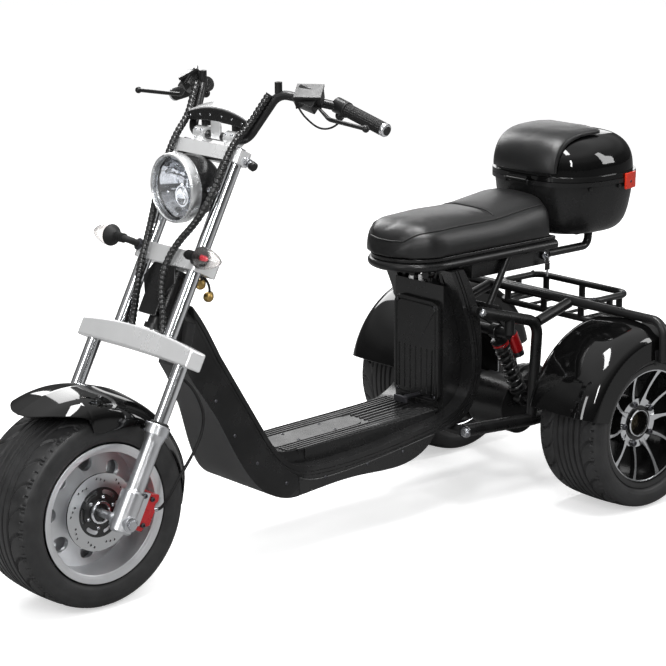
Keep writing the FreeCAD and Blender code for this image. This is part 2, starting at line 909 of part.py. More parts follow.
def case_shell():
    outer = oval_loft(case_shell_shares, case_low_z, case_band_z)
    inner = oval_loft(case_shell_shares, case_low_z + case_wall, case_band_z + case_lid_gap, case_wall)
    flange = case_ring(case_band_z - case_flange_height, case_band_z, case_flange)
    pin_start = vec(-hinge_half, hinge_station, case_band_z)
    pin_end = vec(hinge_half, hinge_station, case_band_z)
    pin = rod(pin_start, pin_end, hinge_radius / 2)
    pieces = [outer, flange, pin]
    for side in (-1, 1):
        x = side * (hinge_half - hinge_radius)
        pieces.append(box(x - hinge_radius / 2, x + hinge_radius / 2, hinge_station - hinge_radius / 2,
                          hinge_station + 4 * hinge_radius, case_band_z - 2 * hinge_radius, case_band_z))
    rear = case_station + case_half_length
    pieces.append(box(-case_lock_half, case_lock_half, rear - case_lock_depth, rear + case_flange + case_lock_depth,
                      case_band_z - case_lock_height, case_band_z - case_lid_gap))
    return fuse(pieces).cut(inner)


def case_lid():
    low = case_band_z + case_lid_gap
    outer = oval_loft(case_lid_shares, low, case_top_z)
    inner = oval_loft(case_lid_shares, low - case_wall, case_top_z - case_wall, case_wall)
    flange = case_ring(low, low + case_flange_height, case_flange)
    half = hinge_half - 2 * hinge_radius
    barrel = rod(vec(-half, hinge_station, case_band_z), vec(half, hinge_station, case_band_z), hinge_radius)
    leaf = box(-half, half, hinge_station, hinge_station + 4 * hinge_radius, low + case_lid_gap,
               low + 2 * hinge_radius)
    whole = fuse([outer, flange, barrel, leaf]).cut(inner)
    return whole.cut(rod(vec(-hinge_half, hinge_station, case_band_z), vec(hinge_half, hinge_station, case_band_z),
                         hinge_radius / 2 + stem_fit))


def lid_pad():
    low = case_band_z + case_lid_gap
    front = case_station - case_half_length - pad_depth
    block = box(-pad_half_width, pad_half_width, front, case_station + pad_reach, low + pad_rise,
                case_top_z + pad_depth)
    swell = oval_loft(case_lid_shares, low, case_top_z + pad_depth, -pad_depth)
    cover = oval_loft(case_lid_shares, low, case_top_z + seat_gap, -seat_gap)
    return block.common(swell).cut(cover)


def lid_latch():
    # The red blocks that wrap the flange at the two rear corners.
    front = case_station + corner_block_front
    rear = case_station + corner_block_rear
    low = case_band_z - corner_block_low
    high = case_band_z + corner_block_high
    block = box(corner_block_x, case_half_width + case_flange + cut_over, front, rear, low, high)
    outer = case_ring(low, high, case_flange + seat_gap + corner_block_thick)
    inner = case_ring(low - case_wall, high + case_wall, case_flange + seat_gap)
    return both(block.common(outer).cut(inner))


def case_rack():
    top = case_low_z - seat_gap
    post_station = wheelbase + rack_post_back
    turn_station = wheelbase + rack_turn_back
    pieces = []
    for side in (-1, 1):
        path = [vec(side * rack_x, box_rear_station + seat_gap, rack_z),
                vec(side * rack_x, turn_station + rack_radius, rack_z),
                vec(side * rack_x, post_station, top - rack_plate_thick)]
        pieces.append(bent_tube(path, 2 * rack_radius, rack_radius))
    pieces.append(box(-rack_x - rack_radius, rack_x + rack_radius, turn_station - 4 * rack_radius,
                      post_station + 4 * rack_radius, top - rack_plate_thick, top))
    return fuse(pieces)


def rear_subframe():
    pieces = []
    for side in (-1, 1):
        x = side * frame_rail_x
        lower = [vec(x, pivot_station, pivot_z), vec(x, post_low_station, lower_rail_end_z),
                 vec(x, lower_rail_end_station, lower_rail_end_z)]
        pieces.append(bent_tube(lower, 3 * lower_rail_radius, lower_rail_radius))
        upper = [vec(x, upper_rail_front_station, upper_rail_front_z), vec(x, post_top_station, post_top_z),
                 vec(x, post_low_station, lower_rail_end_z)]
        pieces.append(bent_tube(upper, 3 * post_radius, post_radius))
        boss_end = side * (body_half_width + seat_gap)
        pieces.append(rod(vec(x, upper_rail_front_station, upper_rail_front_z),
                          vec(boss_end, upper_rail_front_station, upper_rail_front_z), rail_boss_radius))
        inner = side * (shock_x - shock_eye_width / 2)
        pieces.append(rod(vec(x, shock_low_station, shock_low_z), vec(inner, shock_low_station, shock_low_z),
                          shock_pin_radius))
        strut_foot = vec(x, post_top_station, post_top_z)
        strut_head = vec(x, hoop_station, hoop_z)
        lift = strut_head.sub(strut_foot).normalize()
        pieces.append(rod(strut_foot, strut_head - lift * (hoop_radius + hoop_fit), frame_cross_radius))
        pieces.append(rod(vec(x, shock_top_station, shock_top_z), vec(x, shock_top_station, upper_rail_height()),
                          frame_cross_radius))
        lug_x = side * pivot_lug_x
        pieces.append(box(lug_x - pivot_lug_half, lug_x + pivot_lug_half, pivot_station - frame_cross_radius,
                          pivot_station + frame_cross_radius, pivot_z, bay_low_z - seat_gap))
    pieces.append(rod(cross_bar_point(-1), cross_bar_point(1), strut_radius))
    for station, z in ((shock_top_station, shock_top_z), (pivot_station, pivot_z)):
        pieces.append(rod(vec(-frame_rail_x, station, z), vec(frame_rail_x, station, z), frame_cross_radius))
    return fuse(pieces)


def upper_rail_height():
    # Height of the upper rail above the shock's top cross tube.
    slope = (post_top_z - upper_rail_front_z) / (post_top_station - upper_rail_front_station)
    return upper_rail_front_z + slope * (shock_top_station - upper_rail_front_station)


def axle_housing():
    centre = rear_tyre_radius
    tube = rod(vec(-axle_tube_end, wheelbase, centre), vec(axle_tube_end, wheelbase, centre), axle_tube_radius)
    stub_end = rear_track_half + rear_web_x
    stub = rod(vec(-stub_end, wheelbase, centre), vec(stub_end, wheelbase, centre), stub_radius)
    rim = drive_radius - drive_rib
    half = drive_half_width
    drive = spun([(-half, 0), (-half, rim / 2), (-half / 2, rim), (-drive_rib, rim), (-drive_rib, drive_radius),
                  (drive_rib, drive_radius), (drive_rib, rim), (half / 2, rim), (half, rim / 2), (half, 0)],
                 wheelbase, centre, 0)
    motor_station = wheelbase - motor_reach
    motor_z = centre - motor_drop
    motor = rod(vec(-motor_half_width, motor_station, motor_z), vec(motor_half_width, motor_station, motor_z),
                motor_radius)
    pieces = [tube, stub, drive, motor]
    for side in (-1, 1):
        x = side * frame_rail_x
        pieces.append(box(x - lower_rail_radius, x + lower_rail_radius, lower_rail_end_station + seat_gap, wheelbase,
                          lower_rail_end_z - lower_rail_radius, lower_rail_end_z + lower_rail_radius))
    return fuse(pieces)


def coil_body(span):
    # The damper's body with the coil's turns as round rings, drawn upright from its top eye.
    start = coil_start
    gap = (span - 2 * coil_start) / coil_turns
    core = shock_body_radius
    runs = [[(0, start), (core, start)]]
    for index in range(coil_turns):
        low = start + index * gap + gap / 2 - coil_wire_radius
        runs.append([runs[-1][-1], (core, low)])
        bump = []
        for step in range(5):
            angle = math.pi * step / 4
            bump.append((core + coil_wire_radius * math.sin(angle),
                         low + coil_wire_radius * (1 - math.cos(angle))))
        runs.append(bump)
    runs.append([runs[-1][-1], (core, span - start)])
    runs.append([(core, span - start), (0, span - start)])
    face = run_face([[vec(radius, 0, level) for radius, level in run] for run in runs])
    return face.revolve(ground, z_axis, full_turn)


def shocks():
    top = vec(shock_x, shock_top_station, shock_top_z)
    low = vec(shock_x, shock_low_station, shock_low_z)
    span = low.sub(top).Length
    run = low.sub(top).normalize()
    half = x_axis * (shock_eye_width / 2)
    body = coil_body(span)
    body.Placement = FreeCAD.Placement(top, FreeCAD.Rotation(z_axis, run))
    pieces = [body, rod(top, low, shock_rod_radius)]
    for end in (top, low):
        pieces.append(rod(end - half, end + half, shock_eye_radius))
    across = run.cross(x_axis).normalize()
    if across.y < 0:
        across = across * -1
    can_top = top + across * reservoir_can_back + run * coil_start
    pieces.append(rod(can_top, can_top + run * reservoir_can_length, reservoir_can_radius))
    arm = can_top + run * reservoir_can_radius
    pieces.append(rod(arm, arm - across * reservoir_can_back, shock_rod_radius))
    whole = fuse(pieces)
    for end, radius in ((top, frame_cross_radius), (low, shock_pin_radius)):
        whole = whole.cut(rod(end - half * 2, end + half * 2, radius + seat_gap))
    return both(whole)


def rear_carrier():
    path = [vec(-hoop_leg_x, hoop_station, rear_tyre_radius + hoop_leg_lift), vec(-hoop_leg_x, hoop_station, hoop_z),
            vec(hoop_leg_x, hoop_station, hoop_z), vec(hoop_leg_x, hoop_station, rear_tyre_radius + hoop_leg_lift)]
    pieces = [bent_tube(path, hoop_corner, hoop_radius)]
    near = wheelbase + basket_front_back
    far = wheelbase + basket_rear_back
    top = hoop_z - basket_drop
    low = top - basket_height
    half = basket_half_width
    for z in (top, low):
        loop = [vec(0, near, z), vec(half, near, z), vec(half, far, z), vec(-half, far, z), vec(-half, near, z),
                vec(0, near, z)]
        pieces.append(bent_tube(loop, basket_corner, basket_wire))
    inset = half - basket_corner
    for x in (-inset, 0, inset):
        for y in (near, far):
            pieces.append(rod(vec(x, y, low), vec(x, y, top), basket_wire))
    middle = (near + far) / 2
    for side in (-1, 1):
        pieces.append(rod(vec(side * half, middle, low), vec(side * half, middle, top), basket_wire))
        tie = side * basket_tie_x
        pieces.append(rod(vec(tie, hoop_station, hoop_z), vec(tie, near, top), basket_wire))
    for index in range(slat_count):
        x = (2 * index / (slat_count - 1) - 1) * inset
        pieces.append(rod(vec(x, near, low), vec(x, far, low), basket_wire / 2))
    return fuse(pieces)


def fender_section(x0, x1, edge, shoulder, crown, arch_shares):
    # The cross-section of an arched fender above the axle line, drawn in X and Z.
    wall = fender_wall

    def arch(inset):
        width = x1 - x0 - 2 * inset
        rise = crown - inset - shoulder
        return [vec(x0 + inset + share_x * width, 0, shoulder + share_z * rise) for share_x, share_z in arch_shares]

    outer = arch(0)
    inner = arch(wall)
    return run_face([[vec(x0, 0, edge), outer[0]], outer, [outer[-1], vec(x1, 0, edge)],
                     [vec(x1, 0, edge), vec(x1 - wall, 0, edge)], [vec(x1 - wall, 0, edge), inner[-1]],
                     inner[::-1], [inner[0], vec(x0 + wall, 0, edge)], [vec(x0 + wall, 0, edge), vec(x0, 0, edge)]])


def swept_fender(section, station, z, front_deg, rear_deg):
    centre = vec(0, station, z)
    face = section.copy()
    face.translate(centre)
    face.rotate(centre, x_axis, front_deg)
    return face.revolve(centre, x_axis * -1, front_deg + rear_deg)


def rear_fender():
    section = fender_section(rear_fender_inner_x, rear_fender_outer_x, rear_fender_edge, rear_fender_shoulder,
                             rear_fender_crown, rear_arch_shares)
    return swept_fender(section, wheelbase, rear_tyre_radius, rear_fender_deg, rear_fender_deg)


def front_fender():
    half = fender_half_width
    section = fender_section(-half, half, fender_edge_radius, fender_shoulder_radius, fender_crown_radius,
                             front_arch_shares)
    shell = swept_fender(section, 0, front_tyre_radius, fender_front_deg, fender_rear_deg)
    size = 2 * fender_crown_radius
    radius = fender_crown_radius
    edge = [vec(-size, radius * y, front_tyre_radius + radius * z) for y, z in fender_edge_shares]
    low = vec(-size, edge[-1].y, front_tyre_radius)
    far = vec(-size, edge[0].y - radius, front_tyre_radius)
    high = vec(-size, edge[0].y - radius, edge[0].z)
    below = run_face([edge, [edge[-1], low], [low, far], [far, high], [high, edge[0]]])
    shell = shell.cut(below.extrude(x_axis * (2 * size)))
    nose = [vec(radius * x, radius * y, front_tyre_radius) for x, y in fender_nose_shares]
    wide = vec(size, nose[-1].y, front_tyre_radius)
    corner = vec(size, -size, front_tyre_radius)
    tip = vec(nose[0].x, -size, front_tyre_radius)
    beside_nose = run_face([nose, [nose[-1], wide], [wide, corner], [corner, tip], [tip, nose[0]]])
    waste = beside_nose.extrude(z_axis * size)
    shell = shell.cut(waste).cut(mirrored(waste))
    pieces = [shell]
    for side in (-1, 1):
        inner = side * (half - fender_wall)
        outer = side * (leg_x - slider_cap_radius - clamp_fit)
        pieces.append(raked(box(min(inner, outer), max(inner, outer), -fender_ear_thick / 2, fender_ear_thick / 2,
                                fender_ear_level - fender_ear_width / 2, fender_ear_level + fender_ear_width / 2)))
    return fuse(pieces)


def leg(x, low, high, radius):
    return rod(head(x, 0, low), head(x, 0, high), radius)


def fork_tubes():
    yoke_low = yoke_level - yoke_end_height / 2
    top = top_clamp_level - top_clamp_height / 2
    upper_low = yoke_level + yoke_mid_height / 2 + yoke_rise - yoke_seat
    solids = []
    for side in (-1, 1):
        solids.append(leg(side * leg_x, slider_top + clamp_fit, yoke_low + yoke_seat, stanchion_radius))
        solids.append(leg(side * upper_tube_x, upper_low, top + yoke_seat, upper_tube_radius))
    return Part.makeCompound(solids)


def slider_leg():
    # The cast lower leg, turned about the leg's own line: foot, slim tube, and a collar at the top.
    foot = slider_foot_radius
    tube = slider_tube_radius
    cap_low = slider_top - slider_cap_height
    slope = foot - tube
    profile = [(0, -slider_foot_drop), (foot - slope, -slider_foot_drop), (foot, slope - slider_foot_drop),
               (foot, slider_foot_top), (tube + 1 / 2, slider_foot_top + slope), (tube, slider_foot_top + 2 * slope),
               (tube, cap_low - 4 * slope), (slider_cap_radius - slope / 2, cap_low), (slider_cap_radius, cap_low),
               (slider_cap_radius, slider_top - slope / 2), (slider_cap_radius - slope / 2, slider_top),
               (0, slider_top)]
    face = outline_face([vec(radius, 0, level) for radius, level in profile])
    return raked(face.revolve(ground, z_axis, full_turn))


def fork_sliders():
    turned = slider_leg()
    pieces = []
    for side in (-1, 1):
        placed = turned.copy()
        placed.translate(vec(side * leg_x, 0, 0))
        pieces.append(placed)
        pieces.append(rod(vec(side * (leg_x - axle_boss_half), 0, front_tyre_radius),
                          vec(side * (leg_x + axle_boss_half), 0, front_tyre_radius), axle_boss_radius))
    pieces.append(rod(vec(-leg_x, 0, front_tyre_radius), vec(leg_x, 0, front_tyre_radius), axle_radius))
    low = head(caliper_x_out + clamp_fit, 0, -axle_boss_radius)
    high = head(caliper_x_out + clamp_fit, 0, slider_foot_top)
    reach_high = head(caliper_x_out + clamp_fit, lug_reach, slider_foot_top + axle_radius)
    reach_low = head(caliper_x_out + clamp_fit, lug_reach, 0)
    lug = outline_face([low, reach_low, reach_high, high]).extrude(x_axis * lug_thick)
    pieces.append(lug)
    return fuse(pieces)


def yoke():
    half = yoke_half_width
    low = yoke_level - yoke_end_height / 2
    high = yoke_level + yoke_end_height / 2
    mid_high = yoke_level + yoke_mid_height / 2 + yoke_rise
    mid_low = yoke_level - yoke_mid_height / 2 + yoke_rise
    front = -yoke_depth / 2
    arc_top = Part.Arc(vec(-half, front, high), vec(0, front, mid_high), vec(half, front, high)).toShape()
    arc_low = Part.Arc(vec(-half, front, low), vec(0, front, mid_low), vec(half, front, low)).toShape()
    ends = [Part.makeLine(vec(-half, front, low), vec(-half, front, high)),
            Part.makeLine(vec(half, front, low), vec(half, front, high))]
    face = Part.Face(Part.Wire(Part.__sortEdges__([arc_top, arc_low] + ends)))
    crescent = face.extrude(vec(0, yoke_depth, 0))
    rounded = crescent.makeFillet(yoke_round, crescent.Edges)
    bar = raked(rounded)
    hub = rod(head(0, steer_offset, mid_low + yoke_seat), head(0, steer_offset, mid_high - yoke_seat),
              head_tube_radius)
    stem = rod(head(0, steer_offset, yoke_level + yoke_rise), head(0, steer_offset, middle_clamp_level), stem_radius)
    whole = fuse([bar, hub, stem])
    for side in (-1, 1):
        whole = whole.cut(leg(side * leg_x, 0, low + yoke_seat + clamp_fit, stanchion_radius + clamp_fit))
        socket_low = mid_high - yoke_seat - clamp_fit
        whole = whole.cut(leg(side * upper_tube_x, socket_low, top_clamp_level, upper_tube_radius + clamp_fit))
    return whole


def clamp_plate(level, height, half, depth, offset):
    plate = raked(box(-half, half, -depth / 2, offset + depth / 2, level - height / 2, level + height / 2))
    uprights = [edge for edge in plate.Edges if abs(edge.Length - height) < clamp_fit]
    return plate.makeFillet(depth / 3, uprights)


def middle_clamp():
    plate = clamp_plate(middle_clamp_level, middle_clamp_height, middle_clamp_half_width, middle_clamp_depth,
                        steer_offset)
    for side in (-1, 1):
        plate = plate.cut(leg(side * upper_tube_x, 0, wheelbase, upper_tube_radius + clamp_fit))
    return plate.cut(rod(head(0, steer_offset, 0), head(0, steer_offset, middle_clamp_level + clamp_fit),
                         stem_radius + clamp_fit))


def top_clamp():
    plate = clamp_plate(top_clamp_level, top_clamp_height, top_clamp_half_width, top_clamp_depth, 0)
    top = top_clamp_level - top_clamp_height / 2
    for side in (-1, 1):
        plate = plate.cut(leg(side * upper_tube_x, 0, top + yoke_seat + clamp_fit, upper_tube_radius + clamp_fit))
    pieces = [plate]
    for side in (-1, 1):
        centre = bar_point(side * riser_x, 0, 0)
        pieces.append(rod(head(side * riser_x, 0, top_clamp_level), centre, riser_radius))
        pieces.append(rod(centre - x_axis * riser_cap, centre + x_axis * riser_cap, riser_cap))
    return fuse(pieces).cut(rod(bar_point(-bar_centre_half, 0, 0), bar_point(bar_centre_half, 0, 0),
                                bar_radius + bar_fit))


def bar_points():
    right = [bar_point(bar_centre_half, 0, 0), bar_point(bar_bend_x, bar_bend_back, bar_bend_rise),
             bar_point(bar_grip_x, bar_grip_back, bar_grip_rise), bar_point(bar_end_x, bar_end_back, bar_end_rise)]
    left = [vec(-point.x, point.y, point.z) for point in right[::-1]]
    return left + right


def handlebar():
    pieces = [bent_tube(bar_points(), bar_corner_radius, bar_radius)]
    for side in (-1, 1):
        foot = bar_point(side * bar_bend_x, bar_bend_back, bar_bend_rise - bar_radius)
        pieces.append(rod(foot, foot + z_axis * (2 * bar_radius + boss_height), boss_radius))
    whole = fuse(pieces)
    for side in (-1, 1):
        top = bar_point(side * bar_bend_x, bar_bend_back, bar_bend_rise + bar_radius + boss_height)
        whole = whole.cut(rod(top, top - z_axis * mirror_hole_depth, mirror_hole_radius))
    return whole


def grip_line():
    start = bar_point(bar_grip_x, bar_grip_back, bar_grip_rise)
    end = bar_point(bar_end_x, bar_end_back, bar_end_rise)
    return start, end, end.sub(start).normalize()


def grips():
    start, end, run = grip_line()
    first = start + run * grip_start
    sleeve = rod(first, first + run * grip_length, grip_radius)
    collar = rod(first, first + run * grip_collar_length, grip_collar_radius)
    tail = rod(first + run * grip_length, end + run * (bar_fit + grip_cap_length), grip_radius)
    whole = fuse([sleeve, collar, tail])
    return both(whole.cut(rod(start, end + run * bar_fit, bar_radius + bar_fit)))


def brake_controls():
    bend = bar_point(bar_bend_x, bar_bend_back, bar_bend_rise)
    grip, end, run = grip_line()
    span = grip.sub(bend).normalize()
    seat = bend + span * ((reservoir_x - bar_bend_x) / span.x)
    collar = rod(seat - span * (perch_length / 2), seat + span * (perch_length / 2), perch_radius)
    cup = box(-reservoir_length / 2, reservoir_length / 2, -reservoir_depth, 0, 0, reservoir_height)
    over = reservoir_lid_over
    cover = box(-reservoir_length / 2 - over, reservoir_length / 2 + over, -reservoir_depth - over, over,
                reservoir_height, reservoir_height + reservoir_lid)
    tank = fuse([cup, cover])
    tank.rotate(ground, x_axis, reservoir_tilt_deg)
    tank.rotate(ground, z_axis, math.degrees(math.atan2(span.y, span.x)))
    tank.translate(seat + z_axis * reservoir_lift)
    root = seat + x_axis * lever_root_out - y_axis * lever_forward
    knee = seat + vec(lever_knee_out, -lever_forward / 2, -lever_knee_drop)
    tip = bar_point(lever_tip_x, lever_tip_back, lever_tip_rise)
    arm = rod(seat, root, perch_radius / 2)
    blade = bent_tube([root, knee, tip], lever_bend, lever_radius)
    ball = Part.makeSphere(lever_ball, tip)
    pod_start = grip + run * (grip_start - bar_fit - pod_length)
    pod = rod(pod_start, pod_start + run * pod_length, pod_radius)
    bulb = Part.makeSphere(pod_bulb_radius, pod_start + run * (pod_length / 3) - z_axis * pod_bulb_drop)
    bore = bent_tube(bar_points(), bar_corner_radius, bar_radius + bar_fit)
    hold = fuse([collar, tank, arm, blade, ball]).cut(bore)
    switch = fuse([pod, bulb]).cut(bore)
    return Part.makeCompound([hold, switch, mirrored(hold), mirrored(switch)])


def dash():
    half = dash_half_width
    middle = bar_point(0, dash_back, dash_lift)
    front = middle.y - dash_depth / 2
    low = middle.z
    top = Part.Arc(vec(-half, front, low), vec(0, front, low + dash_arch + dash_thick), vec(half, front, low)).toShape()
    base = Part.Arc(vec(-half, front, low), vec(0, front, low + dash_arch), vec(half, front, low)).toShape()
    face = Part.Face(Part.Wire(Part.__sortEdges__([top, base])))
    pieces = [face.extrude(vec(0, dash_depth, 0))]
    bar = bar_point(0, 0, 0)
    for side in (-1, 1):
        x = side * riser_x
        pieces.append(box(x - dash_leg_half, x + dash_leg_half, middle.y, bar.y, bar.z + riser_cap + bar_fit,
                          low + dash_arch))
    return fuse(pieces)


def lamp_face(runs):
    centre = head(0, lamp_back, lamp_level)
    return run_face([[centre + vec(radius, back, 0) for back, radius in run] for run in runs])


def lamp_spin(runs):
    return lamp_face(runs).revolve(head(0, lamp_back, lamp_level), y_axis, full_turn)


def headlamp_bezel():
    wall = bezel_wall
    outer = [(0, lamp_radius - wall), (-wall / 3, lamp_radius - wall / 2), (wall / 3, lamp_radius - wall / 6),
             (wall, lamp_radius)]
    return lamp_spin([outer, [(wall, lamp_radius), (bezel_depth, lamp_radius)],
                      [(bezel_depth, lamp_radius), (bezel_depth, bucket_radius + lamp_fit)],
                      [(bezel_depth, bucket_radius + lamp_fit), (2 * wall, bucket_radius + lamp_fit)],
                      [(2 * wall, bucket_radius + lamp_fit), (2 * wall, lamp_radius - wall)]])


def bucket_outline(gap):
    # The bucket's outer line from its rim to its rear end, as (back, radius) pairs.
    depth = bucket_depth - bezel_depth
    return [(bezel_depth + share_d * depth + gap * share_d, share_r * (bucket_radius + gap))
            for share_d, share_r in bucket_shares]


def headlamp_bucket():
    start = 2 * bezel_wall + lamp_fit
    lip = bucket_radius - bezel_wall / 2
    shell = bucket_outline(0)
    bowl = [(start + reflector_depth, 0), (start + reflector_depth * 3 / 4, lip / 2),
            (start + reflector_depth / 3, lip * 5 / 6), (start, lip)]
    bucket = lamp_spin([[bowl[-1], (start, bucket_radius)], [(start, bucket_radius), shell[0]], shell,
                        [shell[-1], bowl[0]], bowl])
    centre = head(0, lamp_back, lamp_level)
    foot = centre + vec(0, start + reflector_depth, -projector_drop)
    return fuse([bucket, rod(foot, foot - y_axis * (reflector_depth - projector_length), projector_radius)])


def headlamp_lens():
    radius = lamp_radius - bezel_wall - lamp_fit
    back = 2 * bezel_wall
    front = [(-lens_bulge + bezel_wall, 0), (-lens_bulge / 2 + bezel_wall, radius * 2 / 3), (bezel_wall, radius)]
    inside = [(back, radius - lens_thick), (-lens_bulge / 2 + bezel_wall + lens_thick, radius * 2 / 3 - lens_thick),
              (-lens_bulge + bezel_wall + lens_thick, 0)]
    return lamp_spin([front, [(bezel_wall, radius), (back, radius)], [(back, radius), inside[0]], inside])


def lamp_bracket():
    # A flat U strap: its bridge lies under the top clamp and its arms reach the lamp's side pivots.
    arm_in = bucket_radius + lamp_fit + lamp_strap_thick
    half = lamp_strap_half
    under = top_clamp_level - top_clamp_height / 2 - clamp_fit
    pivot = head(0, lamp_back, lamp_level) + y_axis * lamp_pivot_back
    crown = head(0, lamp_strap_back, under - lamp_strap_thick / 2)
    along = crown.sub(pivot).normalize()
    across = x_axis.cross(along) * half
    pieces = [raked(box(-arm_in - lamp_strap_thick, arm_in + lamp_strap_thick, lamp_strap_back - half,
                        lamp_strap_back + half, under - lamp_strap_thick, under))]
    for side in (-1, 1):
        inner = x_axis * (side * arm_in)
        face = outline_face([pivot - across + inner, pivot + across + inner, crown + across + inner,
                             crown - across + inner])
        pieces.append(face.extrude(x_axis * (side * lamp_strap_thick)))
        end = x_axis * (side * (arm_in + lamp_strap_thick))
        hub = x_axis * (side * (arm_in - 3 * lamp_strap_thick))
        pieces.append(rod(pivot + hub, pivot + end, lamp_pivot_radius))
    whole = fuse(pieces)
    shell = bucket_outline(lamp_fit)
    room = lamp_spin([[(0, 0), (0, shell[0][1])], [(0, shell[0][1]), shell[0]], shell])
    return whole.cut(room)


def turn_signals():
    solids = []
    for side in (-1, 1):
        root = head(side * signal_root_x, -middle_clamp_depth / 2 - clamp_fit, signal_level)
        knee = head(side * signal_root_x, signal_forward, signal_level)
        base = head(side * signal_body_x, signal_forward, signal_level)
        pieces = [bent_tube([root, knee, base], 2 * signal_stalk_radius, signal_stalk_radius)]
        for index in range(signal_rib_count):
            rib = base - x_axis * (side * (index + 1) * signal_rib_pitch)
            pieces.append(rod(rib, rib + x_axis * (side * signal_rib_pitch / 2), signal_rib_radius))
        length = signal_tip_x - signal_body_x
        cup = signal_cup_length
        wide = signal_radius
        runs = [[(0, 0), (0, signal_rib_radius)], [(0, signal_rib_radius), (cup, wide)],
                [(cup, wide), (cup + length / 8, wide), (length * 2 / 3, wide * 2 / 3), (length, 0)]]
        face = run_face([[base + vec(side * along, 0, radius) for along, radius in run] for run in runs])
        pieces.append(face.revolve(base, x_axis, full_turn))
        solids.append(fuse(pieces))
    return Part.makeCompound(solids)


def caliper():
    points = []
    for share_y, share_z in caliper_shares:
        points.append(vec(caliper_x_in, share_y * caliper_width, share_z * caliper_length))
    block = outline_face(points).extrude(x_axis * (caliper_x_out - caliper_x_in))
    uprights = [edge for edge in block.Edges if abs(edge.tangentAt(edge.FirstParameter).x) > 1 / 2]
    block = block.makeFillet(caliper_round, uprights)
    slot = box(disc_x - caliper_slot_half, disc_x + caliper_slot_half, -caliper_width, caliper_width / 4,
               -caliper_length, caliper_length)
    pieces = [block.cut(slot)]
    for side in (-1, 1):
        centre = vec(caliper_x_out, 0, side * caliper_length / 5)
        pieces.append(rod(centre - x_axis * piston_cap_height, centre + x_axis * piston_cap_height,
                          piston_cap_radius))
    whole = fuse(pieces)
    whole.rotate(ground, x_axis, -rake_deg)
    whole.translate(head(0, caliper_back, caliper_level))
    return whole


def tyre(section, half, flange_half, station, z, x):
    seat = rim_seat_radius + tyre_fit
    rim = rim_radius + tyre_fit
    lip = flange_half - tyre_wall / 3
    left = [vec(x - share_x * half, station, z + rim + share_r * (section - tyre_fit))
            for share_x, share_r in tyre_shares]
    right = [vec(2 * x - point.x, point.y, point.z) for point in left[-2::-1]]

    def at(px, radius):
        return vec(x + px, station, z + radius)

    bore = flange_half - 2 * tyre_wall
    crown = rim + section - tyre_wall
    corners = [right[-1], at(lip, rim), at(lip, seat), at(bore, seat), at(bore, rim), at(half - tyre_wall, rim + section / 3),
               at(half - 2 * tyre_wall, crown), at(2 * tyre_wall - half, crown), at(tyre_wall - half, rim + section / 3),
               at(-bore, rim), at(-bore, seat), at(-lip, seat), at(-lip, rim), left[0]]
    runs = [left + right] + [[corners[i], corners[i + 1]] for i in range(len(corners) - 1)]
    return run_face(runs).revolve(vec(x, station, z), x_axis, full_turn)


def rim_profile(flange_half):
    seat = rim_seat_radius
    wall = rim_bore_wall
    return [(-flange_half, rim_radius - wall / 2), (-flange_half, rim_radius), (-flange_half + wall / 2, rim_radius),
            (-flange_half + wall / 2, seat), (flange_half - wall / 2, seat), (flange_half - wall / 2, rim_radius),
            (flange_half, rim_radius), (flange_half, rim_radius - wall / 2), (flange_half - wall, seat - wall),
            (-flange_half + wall, seat - wall)]


def front_rim():
    barrel = spun(rim_profile(front_flange_half_width), 0, front_tyre_radius, 0)
    bore = axle_radius + axle_clearance
    inside = rim_seat_radius - rim_bore_wall / 2
    thick = front_web_thick
    web = spun([(front_web_hub_x, bore), (front_web_hub_x, front_hub_radius), (front_web_rim_x, inside),
                (front_web_rim_x - thick, inside), (front_web_hub_x - thick, front_hub_radius - thick),
                (front_web_hub_x - thick, bore)], 0, front_tyre_radius, 0)
    hub = spun([(-front_hub_half_width, bore), (-front_hub_half_width, front_hub_radius / 2),
                (0, front_hub_radius), (front_hub_half_width, front_hub_radius), (front_hub_half_width, bore)],
               0, front_tyre_radius, 0)
    whole = fuse([barrel, web, hub])
    for index in range(front_hole_count):
        centre = ring_point(0, front_tyre_radius, front_hole_ring, 2 * math.pi * index / front_hole_count)
        reach = x_axis * (2 * front_hub_half_width)
        hole = rod(centre - x_axis * front_web_thick, centre + reach, front_hole_radius)
        whole = whole.cut(hole)
    return whole


def brake_disc():
    axle = front_tyre_radius
    face_x = disc_x - disc_thick / 2
    wires = [Part.Wire(Part.makeCircle(disc_radius, vec(face_x, 0, axle), x_axis)),
             Part.Wire(Part.makeCircle(disc_bore_radius, vec(face_x, 0, axle), x_axis))]
    for group in range(disc_hole_groups):
        start = 2 * math.pi * group / disc_hole_groups
        for index in range(disc_hole_group_size):
            angle = start + math.radians(index * disc_hole_pitch_deg)
            centre = ring_point(0, axle, disc_hole_ring + (index - 1) * disc_hole_step, angle, face_x)
            wires.append(Part.Wire(Part.makeCircle(disc_hole_radius, centre, x_axis)))
    for index in range(disc_slot_count):
        middle = 2 * math.pi * index / disc_slot_count
        wires.append(slot_wire(axle, face_x, middle))
    plate = Part.makeFace(wires, "Part::FaceMakerBullseye").extrude(x_axis * disc_thick)
    hub_end = front_hub_half_width + clamp_fit
    spacer = rod(vec(hub_end, 0, axle), vec(disc_x, 0, axle), front_hub_radius - disc_slot_radius)
    cap = rod(vec(disc_x, 0, axle), vec(disc_x + disc_thick, 0, axle), disc_bore_radius + disc_thick)
    bore = rod(vec(0, 0, axle), vec(leg_x, 0, axle), axle_radius + 2 * axle_clearance)
    return fuse([plate, spacer, cap]).cut(bore)


